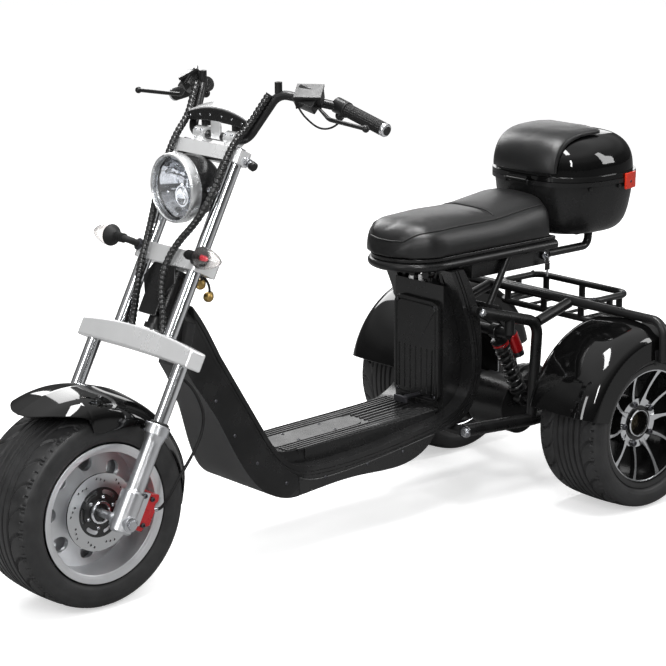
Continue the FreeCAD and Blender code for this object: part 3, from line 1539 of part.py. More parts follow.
def slot_wire(axle, x, middle):
    # A slot bent round the axle, with round ends.
    half = math.radians(disc_slot_pitch_deg)
    inner = disc_slot_ring - disc_slot_radius
    outer = disc_slot_ring + disc_slot_radius
    spread = disc_slot_radius / disc_slot_ring

    def at(radius, angle):
        return ring_point(0, axle, radius, middle + angle, x)

    edges = [Part.Arc(at(outer, -half), at(outer, 0), at(outer, half)).toShape(),
             Part.Arc(at(outer, half), at(disc_slot_ring, half + spread), at(inner, half)).toShape(),
             Part.Arc(at(inner, half), at(inner, 0), at(inner, -half)).toShape(),
             Part.Arc(at(inner, -half), at(disc_slot_ring, -half - spread), at(outer, -half)).toShape()]
    return Part.Wire(edges)


def spoke(shares, half_width, start_radius, turn, side):
    # One spoke's outline in the wheel's plane, swept a little against its turn, extruded along the axle.
    span = spoke_tip_radius - start_radius
    left = []
    right = []
    for share_r, share_w in shares:
        radius = start_radius + share_r * span
        bend = spoke_sweep * share_r * (1 - share_r) * 2
        for edge, sign in ((left, 1), (right, -1)):
            offset = bend + sign * share_w * half_width
            angle = turn + offset / radius
            edge.append(ring_point(wheelbase, rear_tyre_radius, radius, angle))
    face = run_face([left, [left[-1], right[-1]], right[::-1], [right[0], left[0]]])
    return face.extrude(x_axis * (side * rear_flange_half_width))


def rear_rim(side):
    x = side * rear_track_half
    centre = rear_tyre_radius
    barrel = spun(rim_profile(rear_flange_half_width), wheelbase, centre, x, side)
    bore = stub_radius + axle_clearance
    inside = rim_seat_radius - rim_bore_wall / 2
    web = spun([(rear_web_x, bore), (rear_web_x, inside), (rear_web_x - rear_web_thick, inside),
                (rear_web_x - rear_web_thick, bore)], wheelbase, centre, x, side)
    floor = dish_hub_x - rear_bore_depth
    hub = spun([(-rear_web_x, bore), (-rear_web_x, rear_hub_radius), (dish_hub_x, rear_hub_radius),
                (dish_hub_x, rear_bore_radius + bore_ring_wall),
                (dish_hub_x + bore_ring_height, rear_bore_radius + bore_ring_wall),
                (dish_hub_x + bore_ring_height, rear_bore_radius), (floor, rear_bore_radius), (floor, bore)],
               wheelbase, centre, x, side)
    dish = spun([(dish_hub_x, spoke_root_radius), (dish_lip_x, spoke_tip_radius),
                 (dish_lip_x - spoke_thick, spoke_tip_radius), (dish_hub_x - spoke_thick, spoke_root_radius)],
                wheelbase, centre, x, side)
    spokes = []
    pads = []
    for index in range(spoke_pair_count):
        turn = 2 * math.pi * index / spoke_pair_count
        half_pitch = math.pi / spoke_pair_count
        wide = spoke(wide_spoke_shares, wide_spoke_half, spoke_root_radius, turn, side)
        narrow = spoke(narrow_spoke_shares, narrow_spoke_half, bolt_ring, turn + half_pitch, side)
        for blade in (wide, narrow):
            blade.translate(vec(x, 0, 0))
            spokes.append(blade.common(dish))
        pad = ring_point(wheelbase, centre, bolt_ring, turn + half_pitch, x)
        pads.append(rod(pad, pad + x_axis * (side * (dish_hub_x + bolt_pad_height)), bolt_pad_radius))
    return fuse([barrel, web, hub] + spokes + pads)


def rear_tyre(side):
    return tyre(rear_tyre_section, rear_tyre_half_width, rear_flange_half_width, wheelbase, rear_tyre_radius,
                side * rear_track_half)


def parking_pedal():
    seat = bay_front_station - door_gap - door_thick - door_gap
    root = vec(pedal_x, seat, pedal_z)
    tip = vec(pedal_x, seat - pedal_reach, pedal_z)
    arm = rod(root, tip, pedal_radius)
    pad = box(pedal_x - pedal_pad_half, pedal_x + pedal_pad_half, tip.y - pedal_pad_thick, tip.y,
              pedal_z - pedal_pad_thick, pedal_z + pedal_pad_thick)
    return fuse([arm, pad])


# Cable routes in the raked frame: (x, back, level), chosen along the bars and the fork
left_loom_route = [(138, -9, 1042), (127, -12, 1000), (115, -16, 955), (109, -34, 905), (107, -36, 850),
                   (105, -36, 795), (98, -36, 740), (76, -36, 692), (48, -36, 652), (33, -36, 606),
                   (32, -33, 556), (44, -20, 508), (57, -4, 470), (60, 4, 438.4)]
right_loom_route = [(-138, -9, 1042), (-127, -12, 1000), (-115, -16, 955), (-109, -34, 905), (-107, -37, 850),
                    (-103, -38, 800), (-95, -37, 750), (-82, -36, 700), (-72, -36, 655), (-64, -36, 606),
                    (-55, -34, 558), (-50, -24, 512), (-56, -8, 472), (-60, 4, 438.6)]
hose_route = [(136, 12, 384), (136, 14, 370), (135, 40, 356), (135, 84, 344), (135, 128, 314), (135, 152, 284), (135, 160, 248),
              (135, 158, 212), (135, 151, 176), (135, 143, 143), (134, 139, 110), (126, 138, 72), (112, 136, 47),
              (112, 117.3, 47)]


def cables():
    solids = []
    for route in (left_loom_route, right_loom_route):
        points = [head(x, back, level) for x, back, level in route]
        solids.append(bent_tube(points, cable_bends(points), loom_radius))
    points = [head(x, back, level) for x, back, level in hose_route]
    solids.append(bent_tube(points, cable_bends(points), hose_radius))
    return Part.makeCompound(solids)


def main():
    os.makedirs("parts", exist_ok=True)
    lower = lower_body()
    beam = side_beam()
    fender = rear_fender()
    save("side_beam_left", beam)
    save("side_beam_right", mirrored(beam))
    save("rear_fender_left", fender)
    save("rear_fender_right", mirrored(fender))
    save("front_cover", front_cover(lower))
    save("belly_skirt", belly_skirt(lower))
    for build in (head_tube, floor_board, battery_box, battery_door, parking_pedal, seat_rail, under_seat_box,
                  seat_cushion, case_rack, case_shell, case_lid, lid_pad, lid_latch, rear_subframe, axle_housing,
                  shocks, rear_carrier, fork_tubes, fork_sliders, yoke, middle_clamp, top_clamp, handlebar, grips,
                  brake_controls, dash, headlamp_bucket, headlamp_bezel, headlamp_lens, lamp_bracket,
                  turn_signals, front_fender, front_rim, brake_disc, cables):
        save(build.__name__, build())
    save("brake_caliper", caliper())
    save("front_tyre", tyre(front_tyre_section, front_tyre_half_width, front_flange_half_width, 0,
                            front_tyre_radius, 0))
    for side, name in sides:
        save("rear_tyre_" + name, rear_tyre(side))
        save("rear_rim_" + name, rear_rim(side))


main()
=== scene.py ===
import math

import bmesh
import bpy
from mathutils import Matrix, Vector
from mathutils.bvhtree import BVHTree


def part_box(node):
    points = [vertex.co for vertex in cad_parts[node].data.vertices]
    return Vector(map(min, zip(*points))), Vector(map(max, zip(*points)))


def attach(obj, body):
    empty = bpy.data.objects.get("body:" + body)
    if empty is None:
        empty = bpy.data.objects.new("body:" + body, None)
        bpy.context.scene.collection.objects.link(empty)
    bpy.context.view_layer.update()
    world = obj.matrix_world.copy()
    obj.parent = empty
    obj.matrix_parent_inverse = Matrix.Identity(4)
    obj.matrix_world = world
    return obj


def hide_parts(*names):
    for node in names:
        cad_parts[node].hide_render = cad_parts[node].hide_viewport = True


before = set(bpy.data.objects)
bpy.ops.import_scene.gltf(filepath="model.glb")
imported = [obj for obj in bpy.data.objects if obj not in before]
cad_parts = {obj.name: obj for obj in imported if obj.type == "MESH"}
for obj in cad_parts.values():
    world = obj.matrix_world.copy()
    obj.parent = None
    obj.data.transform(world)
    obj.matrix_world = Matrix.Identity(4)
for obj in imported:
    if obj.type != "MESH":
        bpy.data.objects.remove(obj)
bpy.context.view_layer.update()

# Named places, in metres: stations are measured behind the front axle, as in the part's source
ORIGIN = 0.782
FRONT_R = 0.232
REAR_R = 0.222
RIM_R = 0.166
RAKE = math.radians(27.5)
SIN_R = math.sin(RAKE)
COS_R = math.cos(RAKE)
X_AXIS = Vector((1, 0, 0))
Y_AXIS = Vector((0, 1, 0))
Z_AXIS = Vector((0, 0, 1))
AXES = (X_AXIS, Y_AXIS, Z_AXIS)

CHASSIS = "chassis"
STEERING = "steering"
LID = "lid"
FRONT_WHEEL = "front_wheel"
WHEELS = (("left", 1), ("right", -1))
SIDES = (1, -1)
SATIN_SLOT = "black_satin_plastic"
GLOSS_SLOT = "black_gloss_plastic"
METAL_SLOT = "black_metal"


def at(x, station, z):
    """A point given in millimetres, with its station behind the front axle."""
    return Vector((x / 1000, station / 1000 - ORIGIN, z / 1000))


def head(x, back, level):
    """A point of the raked fork's frame, in millimetres."""
    return at(x, back * COS_R + level * SIN_R, 232 - back * SIN_R + level * COS_R)


def head_axis(x, back, level):
    """A direction of the raked fork's frame."""
    return Vector((x, back * COS_R + level * SIN_R, -back * SIN_R + level * COS_R)).normalized()


HEAD_UP = head_axis(0, 0, 1)
HEAD_BACK = head_axis(0, 1, 0)


def bar_point(x, back, rise):
    """A point in millimetres from the middle of the handlebar's clamps."""
    return head(0, 3.7, 924.13) + Vector((x, back, rise)) / 1000


# Mesh helpers: a part is a pair of verts and faces

def link(name, data):
    piece = bpy.data.objects.new(name, data)
    bpy.context.scene.collection.objects.link(piece)
    return piece


def mark_edges(bm, angle):
    """Smooth shading that breaks at edges sharper than the angle."""
    limit = math.radians(angle)
    for face in bm.faces:
        face.smooth = True
    for edge in bm.edges:
        edge.smooth = len(edge.link_faces) == 2 and edge.calc_face_angle(0) < limit


def shade(mesh, angle):
    bm = bmesh.new()
    bm.from_mesh(mesh)
    mark_edges(bm, angle)
    bm.to_mesh(mesh)
    bm.free()


def apply_modifiers(piece):
    graph = bpy.context.evaluated_depsgraph_get()
    graph.update()
    mesh = bpy.data.meshes.new_from_object(piece.evaluated_get(graph))
    old = piece.data
    piece.modifiers.clear()
    piece.data = mesh
    bpy.data.meshes.remove(old)


def soften(piece, width, segments, angle, miter="MITER_SHARP", weighted=True):
    """Rounds the edges that are sharper than the angle."""
    bevel = piece.modifiers.new("edges", "BEVEL")
    bevel.width = width
    bevel.segments = segments
    bevel.limit_method = "ANGLE"
    bevel.angle_limit = math.radians(angle)
    bevel.miter_outer = miter
    if weighted:
        piece.modifiers.new("normals", "WEIGHTED_NORMAL").keep_sharp = True
    apply_modifiers(piece)


def from_faces(name, verts, faces, angle=35):
    mesh = bpy.data.meshes.new(name)
    mesh.from_pydata([tuple(v) for v in verts], [], faces)
    bm = bmesh.new()
    bm.from_mesh(mesh)
    bmesh.ops.recalc_face_normals(bm, faces=bm.faces)
    bm.to_mesh(mesh)
    bm.free()
    shade(mesh, angle)
    return link(name, mesh)


def joined(name, parts):
    """One piece from several parts."""
    verts = []
    faces = []
    for part_verts, part_faces in parts:
        base = len(verts)
        verts += part_verts
        faces += [[base + i for i in face] for face in part_faces]
    return from_faces(name, verts, faces)


def own(piece, material, body, slot, *nodes):
    """Gives a piece its finish, its body and the solids that it stands for; its slot is not used."""
    if not piece.data.materials:
        piece.data.materials.append(material)
    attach(piece, body)
    if nodes:
        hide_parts(*nodes)
    return piece


def build(name, parts, material, body, slot, *nodes):
    return own(joined(name, parts), material, body, slot, *nodes)


def bands(rings, count, closed=False):
    """Quads between rings of count points that follow each other, and back to the first if closed."""
    faces = []
    for ring in range(rings if closed else rings - 1):
        a, b = ring * count, (ring + 1) % rings * count
        faces += [[a + i, a + (i + 1) % count, b + (i + 1) % count, b + i] for i in range(count)]
    return faces


def caps(rings, count):
    last = (rings - 1) * count
    return [list(range(count))[::-1], list(range(last, last + count))]


def circle(centre, first, second, radius, count):
    """Points round a centre; the radius may be a function of the turn."""
    points = []
    for i in range(count):
        turn = 2 * math.pi * i / count
        size = radius(turn) if callable(radius) else radius
        points.append(centre + (first * math.cos(turn) + second * math.sin(turn)) * size)
    return points


def side_axes(axis):
    axis = axis.normalized()
    guide = Z_AXIS if abs(axis.z) < 0.9 else X_AXIS
    first = axis.cross(guide).normalized()
    return first, axis.cross(first).normalized()


def slab(name, loop, depth, edge, segments=3):
    """A flat piece: an outline pushed along a vector, with rounded edges."""
    count = len(loop)
    faces = [list(range(count)), list(range(count, 2 * count))[::-1]] + bands(2, count)
    piece = from_faces(name, loop + [point + depth for point in loop], faces)
    soften(piece, edge, segments, 50)
    return piece


def lathe(centre, axis, profile, count=48, loop=False):
    """A part turned about an axis from (along, radius) pairs; a loop closes on itself, without caps."""
    first, second = side_axes(axis)
    axis = axis.normalized()
    verts = [p for along, radius in profile for p in circle(centre + axis * along, first, second, radius, count)]
    return verts, bands(len(profile), count, loop) + ([] if loop else caps(len(profile), count))


def swept(points, radius, count=14, closed=False, start_axis=None):
    """A round tube along points; radius may be a function of the share of the length, the turn and the index."""
    points = [Vector(p) for p in points]
    total = len(points)
    verts = []
    previous = start_axis
    for i, point in enumerate(points):
        if closed:
            along = (points[(i + 1) % total] - points[i - 1]).normalized()
        else:
            along = (points[min(i + 1, total - 1)] - points[max(i - 1, 0)]).normalized()
        if previous is None:
            previous = side_axes(along)[0]
        first = (previous - along * previous.dot(along)).normalized()
        previous = first
        share = i / max(total - 1, 1)
        size = (lambda turn: radius(share, turn, i)) if callable(radius) else radius
        verts += circle(point, first, along.cross(first), size, count)
    return verts, bands(total, count, closed) + ([] if closed else caps(total, count))


def smooth_line(points):
    """Points read from the smooth curve that a route's points control."""
    curve = bpy.data.curves.new("line", "CURVE")
    curve.dimensions = "3D"
    curve.resolution_u = 10
    spline = curve.splines.new("NURBS")
    spline.points.add(len(points) - 1)
    for slot, point in zip(spline.points, points):
        slot.co = (*point, 1)
    spline.order_u = 3
    spline.use_endpoint_u = True
    holder = bpy.data.objects.new("line", curve)
    mesh = bpy.data.meshes.new_from_object(holder)
    line = [v.co.copy() for v in mesh.vertices]
    bpy.data.objects.remove(holder)
    bpy.data.curves.remove(curve)
    bpy.data.meshes.remove(mesh)
    return line


def resampled(line, step):
    """The same line with points at an even step."""
    out = [line[0]]
    carry = 0.0
    for a, b in zip(line, line[1:]):
        run = (b - a).length
        travelled = step - carry
        while travelled <= run:
            out.append(a.lerp(b, travelled / run))
            travelled += step
        carry = run - (travelled - step)
    out.append(line[-1])
    return out


def through(points, counts, beyond=None):
    """A smooth line that passes through the points, with a count of steps for each stretch."""
    out = []
    for i, (a, b) in enumerate(zip(points, points[1:])):
        before = points[max(i - 1, 0)]
        after = points[i + 2] if i + 2 < len(points) else beyond if beyond else b
        for step in range(counts[i]):
            t = step / counts[i]
            out.append(a * (2 * t ** 3 - 3 * t ** 2 + 1) + (b - before) / 2 * (t ** 3 - 2 * t ** 2 + t)
                       + b * (3 * t ** 2 - 2 * t ** 3) + (after - a) / 2 * (t ** 3 - t ** 2))
    return out + [points[-1]]


def rounded_block(centre, axes, half, edge=0.002, segments=3):
    """A block with rounded edges, from its centre, three axes and half sizes."""
    bm = bmesh.new()
    bmesh.ops.create_cube(bm, size=2)
    for v in bm.verts:
        v.co = Vector((v.co.x * half[0], v.co.y * half[1], v.co.z * half[2]))
    bmesh.ops.bevel(bm, geom=bm.edges[:], offset=edge, segments=segments, profile=0.5, affect="EDGES")
    verts = [centre + axes[0] * v.co.x + axes[1] * v.co.y + axes[2] * v.co.z for v in bm.verts]
    faces = [[v.index for v in f.verts] for f in bm.faces]
    bm.free()
    return verts, faces


def screw_head(place, axis, radius, height, socket=True):
    """A button head with a six-sided socket, seated on place and facing along axis."""
    first, second = side_axes(axis)
    axis = axis.normalized()
    inner = radius * 0.52
    count = 18
    verts = []
    for along, size in ((-0.6, 0.9), (0, 1), (0.45, 0.97), (0.85, 0.8), (1, 0.62), (1, 0.52 if socket else 0.3)):
        verts += circle(place + axis * (height * along), first, second, radius * size, count)
    if socket:
        def hexagon(turn):
            return inner * 0.9 / math.cos(turn % (math.pi / 3) - math.pi / 6)
        verts += circle(place + axis * (height * 0.35), first, second, hexagon, count)
    rings = len(verts) // count
    return verts, bands(rings, count) + caps(rings, count)[1:]


def hex_head(place, axis, radius, height):
    """A six-sided bolt head with a chamfered top on a thin washer, as two parts."""
    first, second = side_axes(axis)
    axis = axis.normalized()
    washer = [(-height * 0.4, radius * 1.3), (height * 0.12, radius * 1.3), (height * 0.2, radius * 1.15)]
    verts = []
    for along, share in ((0.1, 1.0), (0.85, 1.0), (1, 0.86)):
        verts += circle(place + axis * (height * along), first, second, radius * share, 6)
    return [lathe(place, axis, washer, 24), (verts, bands(3, 6) + caps(3, 6))]


# Materials

def grey(value):
    return (value, value, value * 1.02)


def feed(tree, node, inputs):
    """Gives a node's inputs a value, or a link from another node's output."""
    for key, value in inputs.items():
        if isinstance(value, bpy.types.NodeSocket):
            tree.links.new(value, node.inputs[key])
        else:
            node.inputs[key].default_value = value


def add_node(tree, kind, inputs, **settings):
    node = tree.nodes.new("ShaderNode" + kind)
    for key, value in settings.items():
        setattr(node, key, value)
    feed(tree, node, inputs)
    return node


def finish(name, colour, roughness, metallic=0.0, vary=0.12, blotch=14.0, grain=0.0, grain_scale=700.0,
           cells=False, rough_spread=0.06, coat=0.0, coat_rough=0.05, specular=0.5):
    """A procedural finish: colour and gloss that vary slowly, and a fine grain that the light catches."""
    material = bpy.data.materials.new(name)
    material.use_nodes = True
    tree = material.node_tree
    shader = tree.nodes["Principled BSDF"]
    place = add_node(tree, "TexCoord", {}, name="coords").outputs["Object"]
    cloudy = {"Vector": place, "Scale": blotch, "Detail": 6.0, "Roughness": 0.6}
    slow = add_node(tree, "TexNoise", cloudy).outputs["Fac"]
    ramp = add_node(tree, "ValToRGB", {"Fac": slow}, name="colours")
    for stop, position, share in zip(ramp.color_ramp.elements, (0.3, 0.7), (1 - vary, 1 + vary)):
        stop.position = position
        stop.color = (*[min(1, c * share) for c in colour], 1)
    gloss = add_node(tree, "MapRange", {"Value": slow, "From Min": 0.3, "From Max": 0.7,
                                        "To Min": max(0.02, roughness - rough_spread),
                                        "To Max": min(1, roughness + rough_spread)}, name="gloss")
    feed(tree, shader, {"Metallic": metallic, "Coat Weight": coat, "Coat Roughness": coat_rough,
                        "Specular IOR Level": specular, "Base Color": ramp.outputs["Color"],
                        "Roughness": gloss.outputs["Result"]})
    if grain:
        fine = {"Vector": place, "Scale": grain_scale}
        if cells:
            height = add_node(tree, "TexVoronoi", fine, feature="F1").outputs["Distance"]
        else:
            height = add_node(tree, "TexNoise", {**fine, "Detail": 3.0}).outputs["Fac"]
        bump = add_node(tree, "Bump", {"Strength": grain, "Distance": 0.001, "Height": height})
        feed(tree, shader, {"Normal": bump.outputs["Normal"]})
    return material


def ring_finish(name, base, face, centre, near, far, roughness, face_rough):
    """A wheel's finish: the outward faces between two radii are machined bright, the rest keeps the base."""
    material = finish(name, base, roughness, metallic=0.6, vary=0.1, blotch=20, grain=0.12, grain_scale=500, coat=0.4)
    tree = material.node_tree
    coords = tree.nodes["coords"].outputs

    def calc(operation, *values):
        return add_node(tree, "Math", dict(enumerate(values)), operation=operation).outputs[0]

    def vector_calc(operation, *values):
        return add_node(tree, "VectorMath", dict(enumerate(values)), operation=operation).outputs

    normal_x = add_node(tree, "SeparateXYZ", {"Vector": coords["Normal"]}).outputs["X"]
    facing = {"Value": calc("ABSOLUTE", normal_x), "From Min": 0.9, "From Max": 0.93}
    mask = add_node(tree, "MapRange", facing).outputs["Result"]
    offset = vector_calc("SUBTRACT", coords["Object"], centre)[0]
    radius = vector_calc("LENGTH", vector_calc("MULTIPLY", offset, (0, 1, 1))[0])["Value"]
    outward = add_node(tree, "SeparateXYZ", {"Vector": offset}).outputs["X"]
    for test in (calc("GREATER_THAN", radius, near), calc("LESS_THAN", radius, far),
                 calc("GREATER_THAN", calc("ABSOLUTE", outward), 0.03)):
        mask = calc("MULTIPLY", mask, test)
    colour = add_node(tree, "Mix", {"Factor": mask, "A": tree.nodes["colours"].outputs["Color"], "B": (*face, 1)},
                      data_type="RGBA")
    blend = add_node(tree, "Mix", {"Factor": mask, "A": tree.nodes["gloss"].outputs["Result"], "B": face_rough})
    feed(tree, tree.nodes["Principled BSDF"], {"Base Color": colour.outputs["Result"],
                                               "Roughness": blend.outputs["Result"],
                                               "Metallic": calc("MAXIMUM", mask, 0.4)})
    return material


def glass(name, colour, roughness, ripple, ripple_scale):
    material = finish(name, colour, roughness, vary=0.01, rough_spread=0.01, grain=ripple, grain_scale=ripple_scale)
    feed(material.node_tree, material.node_tree.nodes["Principled BSDF"], {"Transmission Weight": 1.0, "IOR": 1.45})
    return material


chrome = finish("chrome", (0.80, 0.81, 0.83), 0.11, metallic=1, vary=0.03, rough_spread=0.03)
cast_silver = finish("cast_silver", (0.66, 0.67, 0.69), 0.33, metallic=1, vary=0.07, grain=0.14, grain_scale=900)
silver_paint = finish("silver_paint", (0.90, 0.905, 0.91), 0.24, metallic=0.55, vary=0.03, grain=0.05, grain_scale=1600,
                      coat=0.5, coat_rough=0.08)
satin_alloy = finish("satin_alloy", (0.78, 0.79, 0.80), 0.27, metallic=0.9, vary=0.04, grain=0.06, grain_scale=1200)
front_alloy = finish("front_alloy", (0.74, 0.75, 0.765), 0.36, metallic=0.9, vary=0.05, grain=0.05, grain_scale=500)
black_coat = finish("black_coat", grey(0.010), 0.3, vary=0.2, grain=0.08, grain_scale=1100, rough_spread=0.08,
                    specular=0.35)
satin_plastic = finish("satin_plastic", grey(0.009), 0.26, vary=0.2, grain=0.08, grain_scale=1500)
# Grained plastic: a real grain, and a light base colour that is partly painted light on the cover's front faces
grained_plastic = finish("grained_plastic", grey(0.062), 0.5, vary=0.16, grain=0.45, grain_scale=1100, cells=True,
                         specular=0.35)
smooth_plastic = finish("smooth_plastic", grey(0.011), 0.26, vary=0.16, grain=0.05, grain_scale=260, specular=0.32)
gloss_black = finish("gloss_black", grey(0.0025), 0.05, vary=0.3, rough_spread=0.02, specular=0.42)
grip_rubber = finish("grip_rubber", grey(0.012), 0.6, vary=0.2, grain=0.4, grain_scale=900, specular=0.3)
tyre_rubber = finish("tyre_rubber", grey(0.024), 0.46, vary=0.25, blotch=30, grain=0.15, grain_scale=1300,
                     rough_spread=0.08, specular=0.4)
leather = finish("leather", grey(0.008), 0.32, vary=0.1, blotch=20, grain=0.26, grain_scale=620, cells=True,
                 rough_spread=0.025)
piping = finish("piping", grey(0.008), 0.34, vary=0.2, grain=0.2, grain_scale=900, specular=0.35)
thread = finish("thread", grey(0.03), 0.6, vary=0.2, grain=0.5, grain_scale=2200, specular=0.3)
red_anodised = finish("red_anodised", (0.52, 0.010, 0.014), 0.28, metallic=0.35, grain=0.1, grain_scale=900,
                      coat=0.4, coat_rough=0.1)
red_plastic = finish("red_plastic", (0.62, 0.030, 0.010), 0.28, vary=0.08, grain=0.05, coat=0.3, coat_rough=0.1)
red_lens = finish("red_lens", (0.62, 0.03, 0.05), 0.2, vary=0.1, grain=0.4, grain_scale=420, coat=0.6)
dark_steel = finish("dark_steel", (0.10, 0.10, 0.11), 0.35, metallic=0.9, grain=0.15, grain_scale=900)
bolt_steel = finish("bolt_steel", (0.52, 0.53, 0.55), 0.24, metallic=1, vary=0.1, grain=0.1, grain_scale=900)
brass = finish("brass", (0.46, 0.31, 0.11), 0.3, metallic=1, vary=0.15, grain=0.15)
loom_black = finish("loom_black", grey(0.008), 0.24, vary=0.2, grain=0.1, grain_scale=900, specular=0.6)
spring_black = finish("spring_black", grey(0.014), 0.28, vary=0.2, grain=0.08, coat=0.4)
clear_glass = glass("clear_glass", (0.97, 0.98, 1.0), 0.03, 0, 300)
signal_glass = glass("signal_glass", (0.98, 0.96, 0.95), 0.05, 0.4, 350)
reflector = finish("reflector", (0.42, 0.43, 0.45), 0.09, metallic=1, vary=0.2, blotch=55, rough_spread=0.04,
                   grain=0.25, grain_scale=90)
hub_bronze = finish("hub_bronze", (0.10, 0.085, 0.055), 0.4, metallic=0.8, vary=0.35, blotch=90,
                    grain=0.2, grain_scale=600)


# Carried-over solids get their finish and softly rounded edges

def dressed(node, material, body, slot, edge, smooth, segments=2):
    """A copy of a solid with welded points, rounded edges and smooth shading, that stands for it."""
    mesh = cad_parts[node].data.copy()
    mesh.materials.clear()
    bm = bmesh.new()
    bm.from_mesh(mesh)
    bmesh.ops.remove_doubles(bm, verts=bm.verts, dist=0.00004)
    bmesh.ops.dissolve_limit(bm, angle_limit=math.radians(1.5), verts=bm.verts, edges=bm.edges)
    mark_edges(bm, smooth)
    bm.to_mesh(mesh)
    bm.free()
    piece = link(node + "_finish", mesh)
    if edge:
        soften(piece, edge, segments, smooth, "MITER_ARC")
    return own(piece, material, body, slot, node)


for body, slot, material, edge, smooth, nodes in (
        (CHASSIS, METAL_SLOT, black_coat, 0.001, 40, "head_tube case_rack rear_subframe"),
        (CHASSIS, METAL_SLOT, black_coat, 0.0012, 40, "axle_housing"),
        (CHASSIS, METAL_SLOT, black_coat, 0, 40, "rear_carrier"),
        (CHASSIS, SATIN_SLOT, satin_plastic, 0.005, 42, "side_beam_left side_beam_right"),
        (CHASSIS, SATIN_SLOT, satin_plastic, 0.003, 42, "belly_skirt"),
        (CHASSIS, SATIN_SLOT, satin_plastic, 0.002, 40, "battery_box"),
        (CHASSIS, SATIN_SLOT, smooth_plastic, 0.0012, 40, "floor_board battery_door case_shell"),
        (CHASSIS, GLOSS_SLOT, gloss_black, 0.0015, 34, "rear_fender_left rear_fender_right"),
        (CHASSIS, "disc_steel", dark_steel, 0.001, 40, "parking_pedal"),
        (LID, GLOSS_SLOT, gloss_black, 0.0012, 40, "case_lid"),
        (LID, "latch_red", red_plastic, 0.001, 40, "lid_latch"),
        (STEERING, "silver_cast", cast_silver, 0.0012, 35, "fork_sliders"),
        (STEERING, "silver_paint", silver_paint, 0.0008, 40, "middle_clamp top_clamp"),
        (STEERING, METAL_SLOT, black_coat, 0.0008, 35, "handlebar"),
        (STEERING, METAL_SLOT, black_coat, 0.0008, 40, "lamp_bracket"),
        (STEERING, "caliper_red", red_anodised, 0.0015, 40, "brake_caliper")):
    for node in nodes.split():
        dressed(node, material, body, slot, edge, smooth, 3 if edge > 0.004 else 2)

# Front cover: glossy sides and a grained front, whose lighter tone is partly painted light from the front
cover_shell = dressed("front_cover", satin_plastic, CHASSIS, SATIN_SLOT, 0.003, 42)
cover_shell.data.materials.append(grained_plastic)
for polygon in cover_shell.data.polygons:
    polygon.material_index = int(abs(polygon.normal.x) < 0.7)


# Brake controls: the solid's reservoirs shrink into leaning boxes with flat black lids

def leaning(side, x, y, z):
    """The axes along, across and normal to a lid that faces a direction."""
    normal = Vector((side * x, y, z)).normalized()
    along = (X_AXIS - normal * normal.x).normalized()
    return along, normal.cross(along), normal


LID_RISE = 0.0178
LID_HALF = (0.0295, 0.0225, 0.0030)
controls = dressed("brake_controls", black_coat, STEERING, METAL_SLOT, 0.0012, 40)
lid_frames = []
boxes = []
lids = []
for side in SIDES:
    middle = Vector((side * 0.2235, -0.2580, 1.1560))
    axes = leaning(side, 0.29, -0.37, 0.88)
    for vertex in controls.data.vertices:
        along, deep, up = [(vertex.co - middle).dot(axis) for axis in axes]
        if abs(along) < 0.034 and abs(deep) < 0.028 and -0.0195 < up < 0.022:
            vertex.co = middle + (vertex.co - middle) * 0.45
    axes = leaning(side, 0.42, -0.66, 0.62)
    centre = middle + Vector((-side * 0.004, -0.002, -0.0065))
    boxes.append(rounded_block(centre, axes, (0.0275, 0.0210, 0.0160), 0.003))
    lids.append(rounded_block(centre + axes[2] * LID_RISE, axes, LID_HALF, 0.0022))
    lid_frames.append((centre + axes[2] * (LID_RISE + LID_HALF[2]), axes))
build("reservoir_boxes", boxes, black_coat, STEERING, METAL_SLOT, "brake_controls")
build("reservoir_lids", lids, smooth_plastic, STEERING, SATIN_SLOT, "brake_controls")


# Wheels: machined and painted rims, and tyres with their tread

for side, sign in WHEELS:
    rear_face = ring_finish("rear_face_" + side, grey(0.012), (0.72, 0.73, 0.75), at(sign * 350, 1490, 222),
                            0.047, 0.149, 0.2, 0.2)
    dressed("rear_rim_" + side, rear_face, "rear_wheel_" + side, "rim_black", 0.0012, 35)
dressed("front_rim", front_alloy, FRONT_WHEEL, "rim_polished", 0.0012, 35)
LINER = ((-0.004, 0.047), (-0.004, 0.1485), (-0.0065, 0.1485), (-0.0065, 0.047))
build("front_rim_liner", [lathe(at(0, 0, 232), X_AXIS, LINER, 96, True)], front_alloy, FRONT_WHEEL, "rim_polished")
disc_metal = ring_finish("disc_metal", grey(0.02), (0.62, 0.63, 0.64), at(20, 0, 232), 0.060, 0.2, 0.3, 0.34)
dressed("brake_disc", disc_metal, FRONT_WHEEL, "disc_steel", 0.0004, 40, 1)

TYRE_SHARES = ((0.95, 0.08), (0.99, 0.26), (1, 0.46), (0.985, 0.68), (0.93, 0.84), (0.8, 0.925), (0.55, 0.968),
               (0.28, 0.99), (0, 1))
TYRE_STEPS = 480
PITCH = 2 * math.pi / 24
HOOK = 0.62 * PITCH
TREAD_DEEP = 0.0052
WALL_DEEP = 0.0006


def tyre_outline(half, section):
    """The tyre's outside from one bead to the other, as (x, radius) points."""
    points = [Vector((x * half, RIM_R + r * section)) for x, r in TYRE_SHARES]
    side = through(points, [4] * 4 + [12] * 4, Vector((-points[-2].x, points[-2].y)))
    return side + [Vector((-p.x, p.y)) for p in side[-2::-1]]


def smoothstep(low, high, value):
    t = max(0.0, min(1.0, (value - low) / (high - low)))
    return t * t * (3 - 2 * t)


def groove(distance, half, soft):
    """1 in the middle of a groove, 0 outside it."""
    return 1 - smoothstep(half - soft, half + soft, abs(distance))


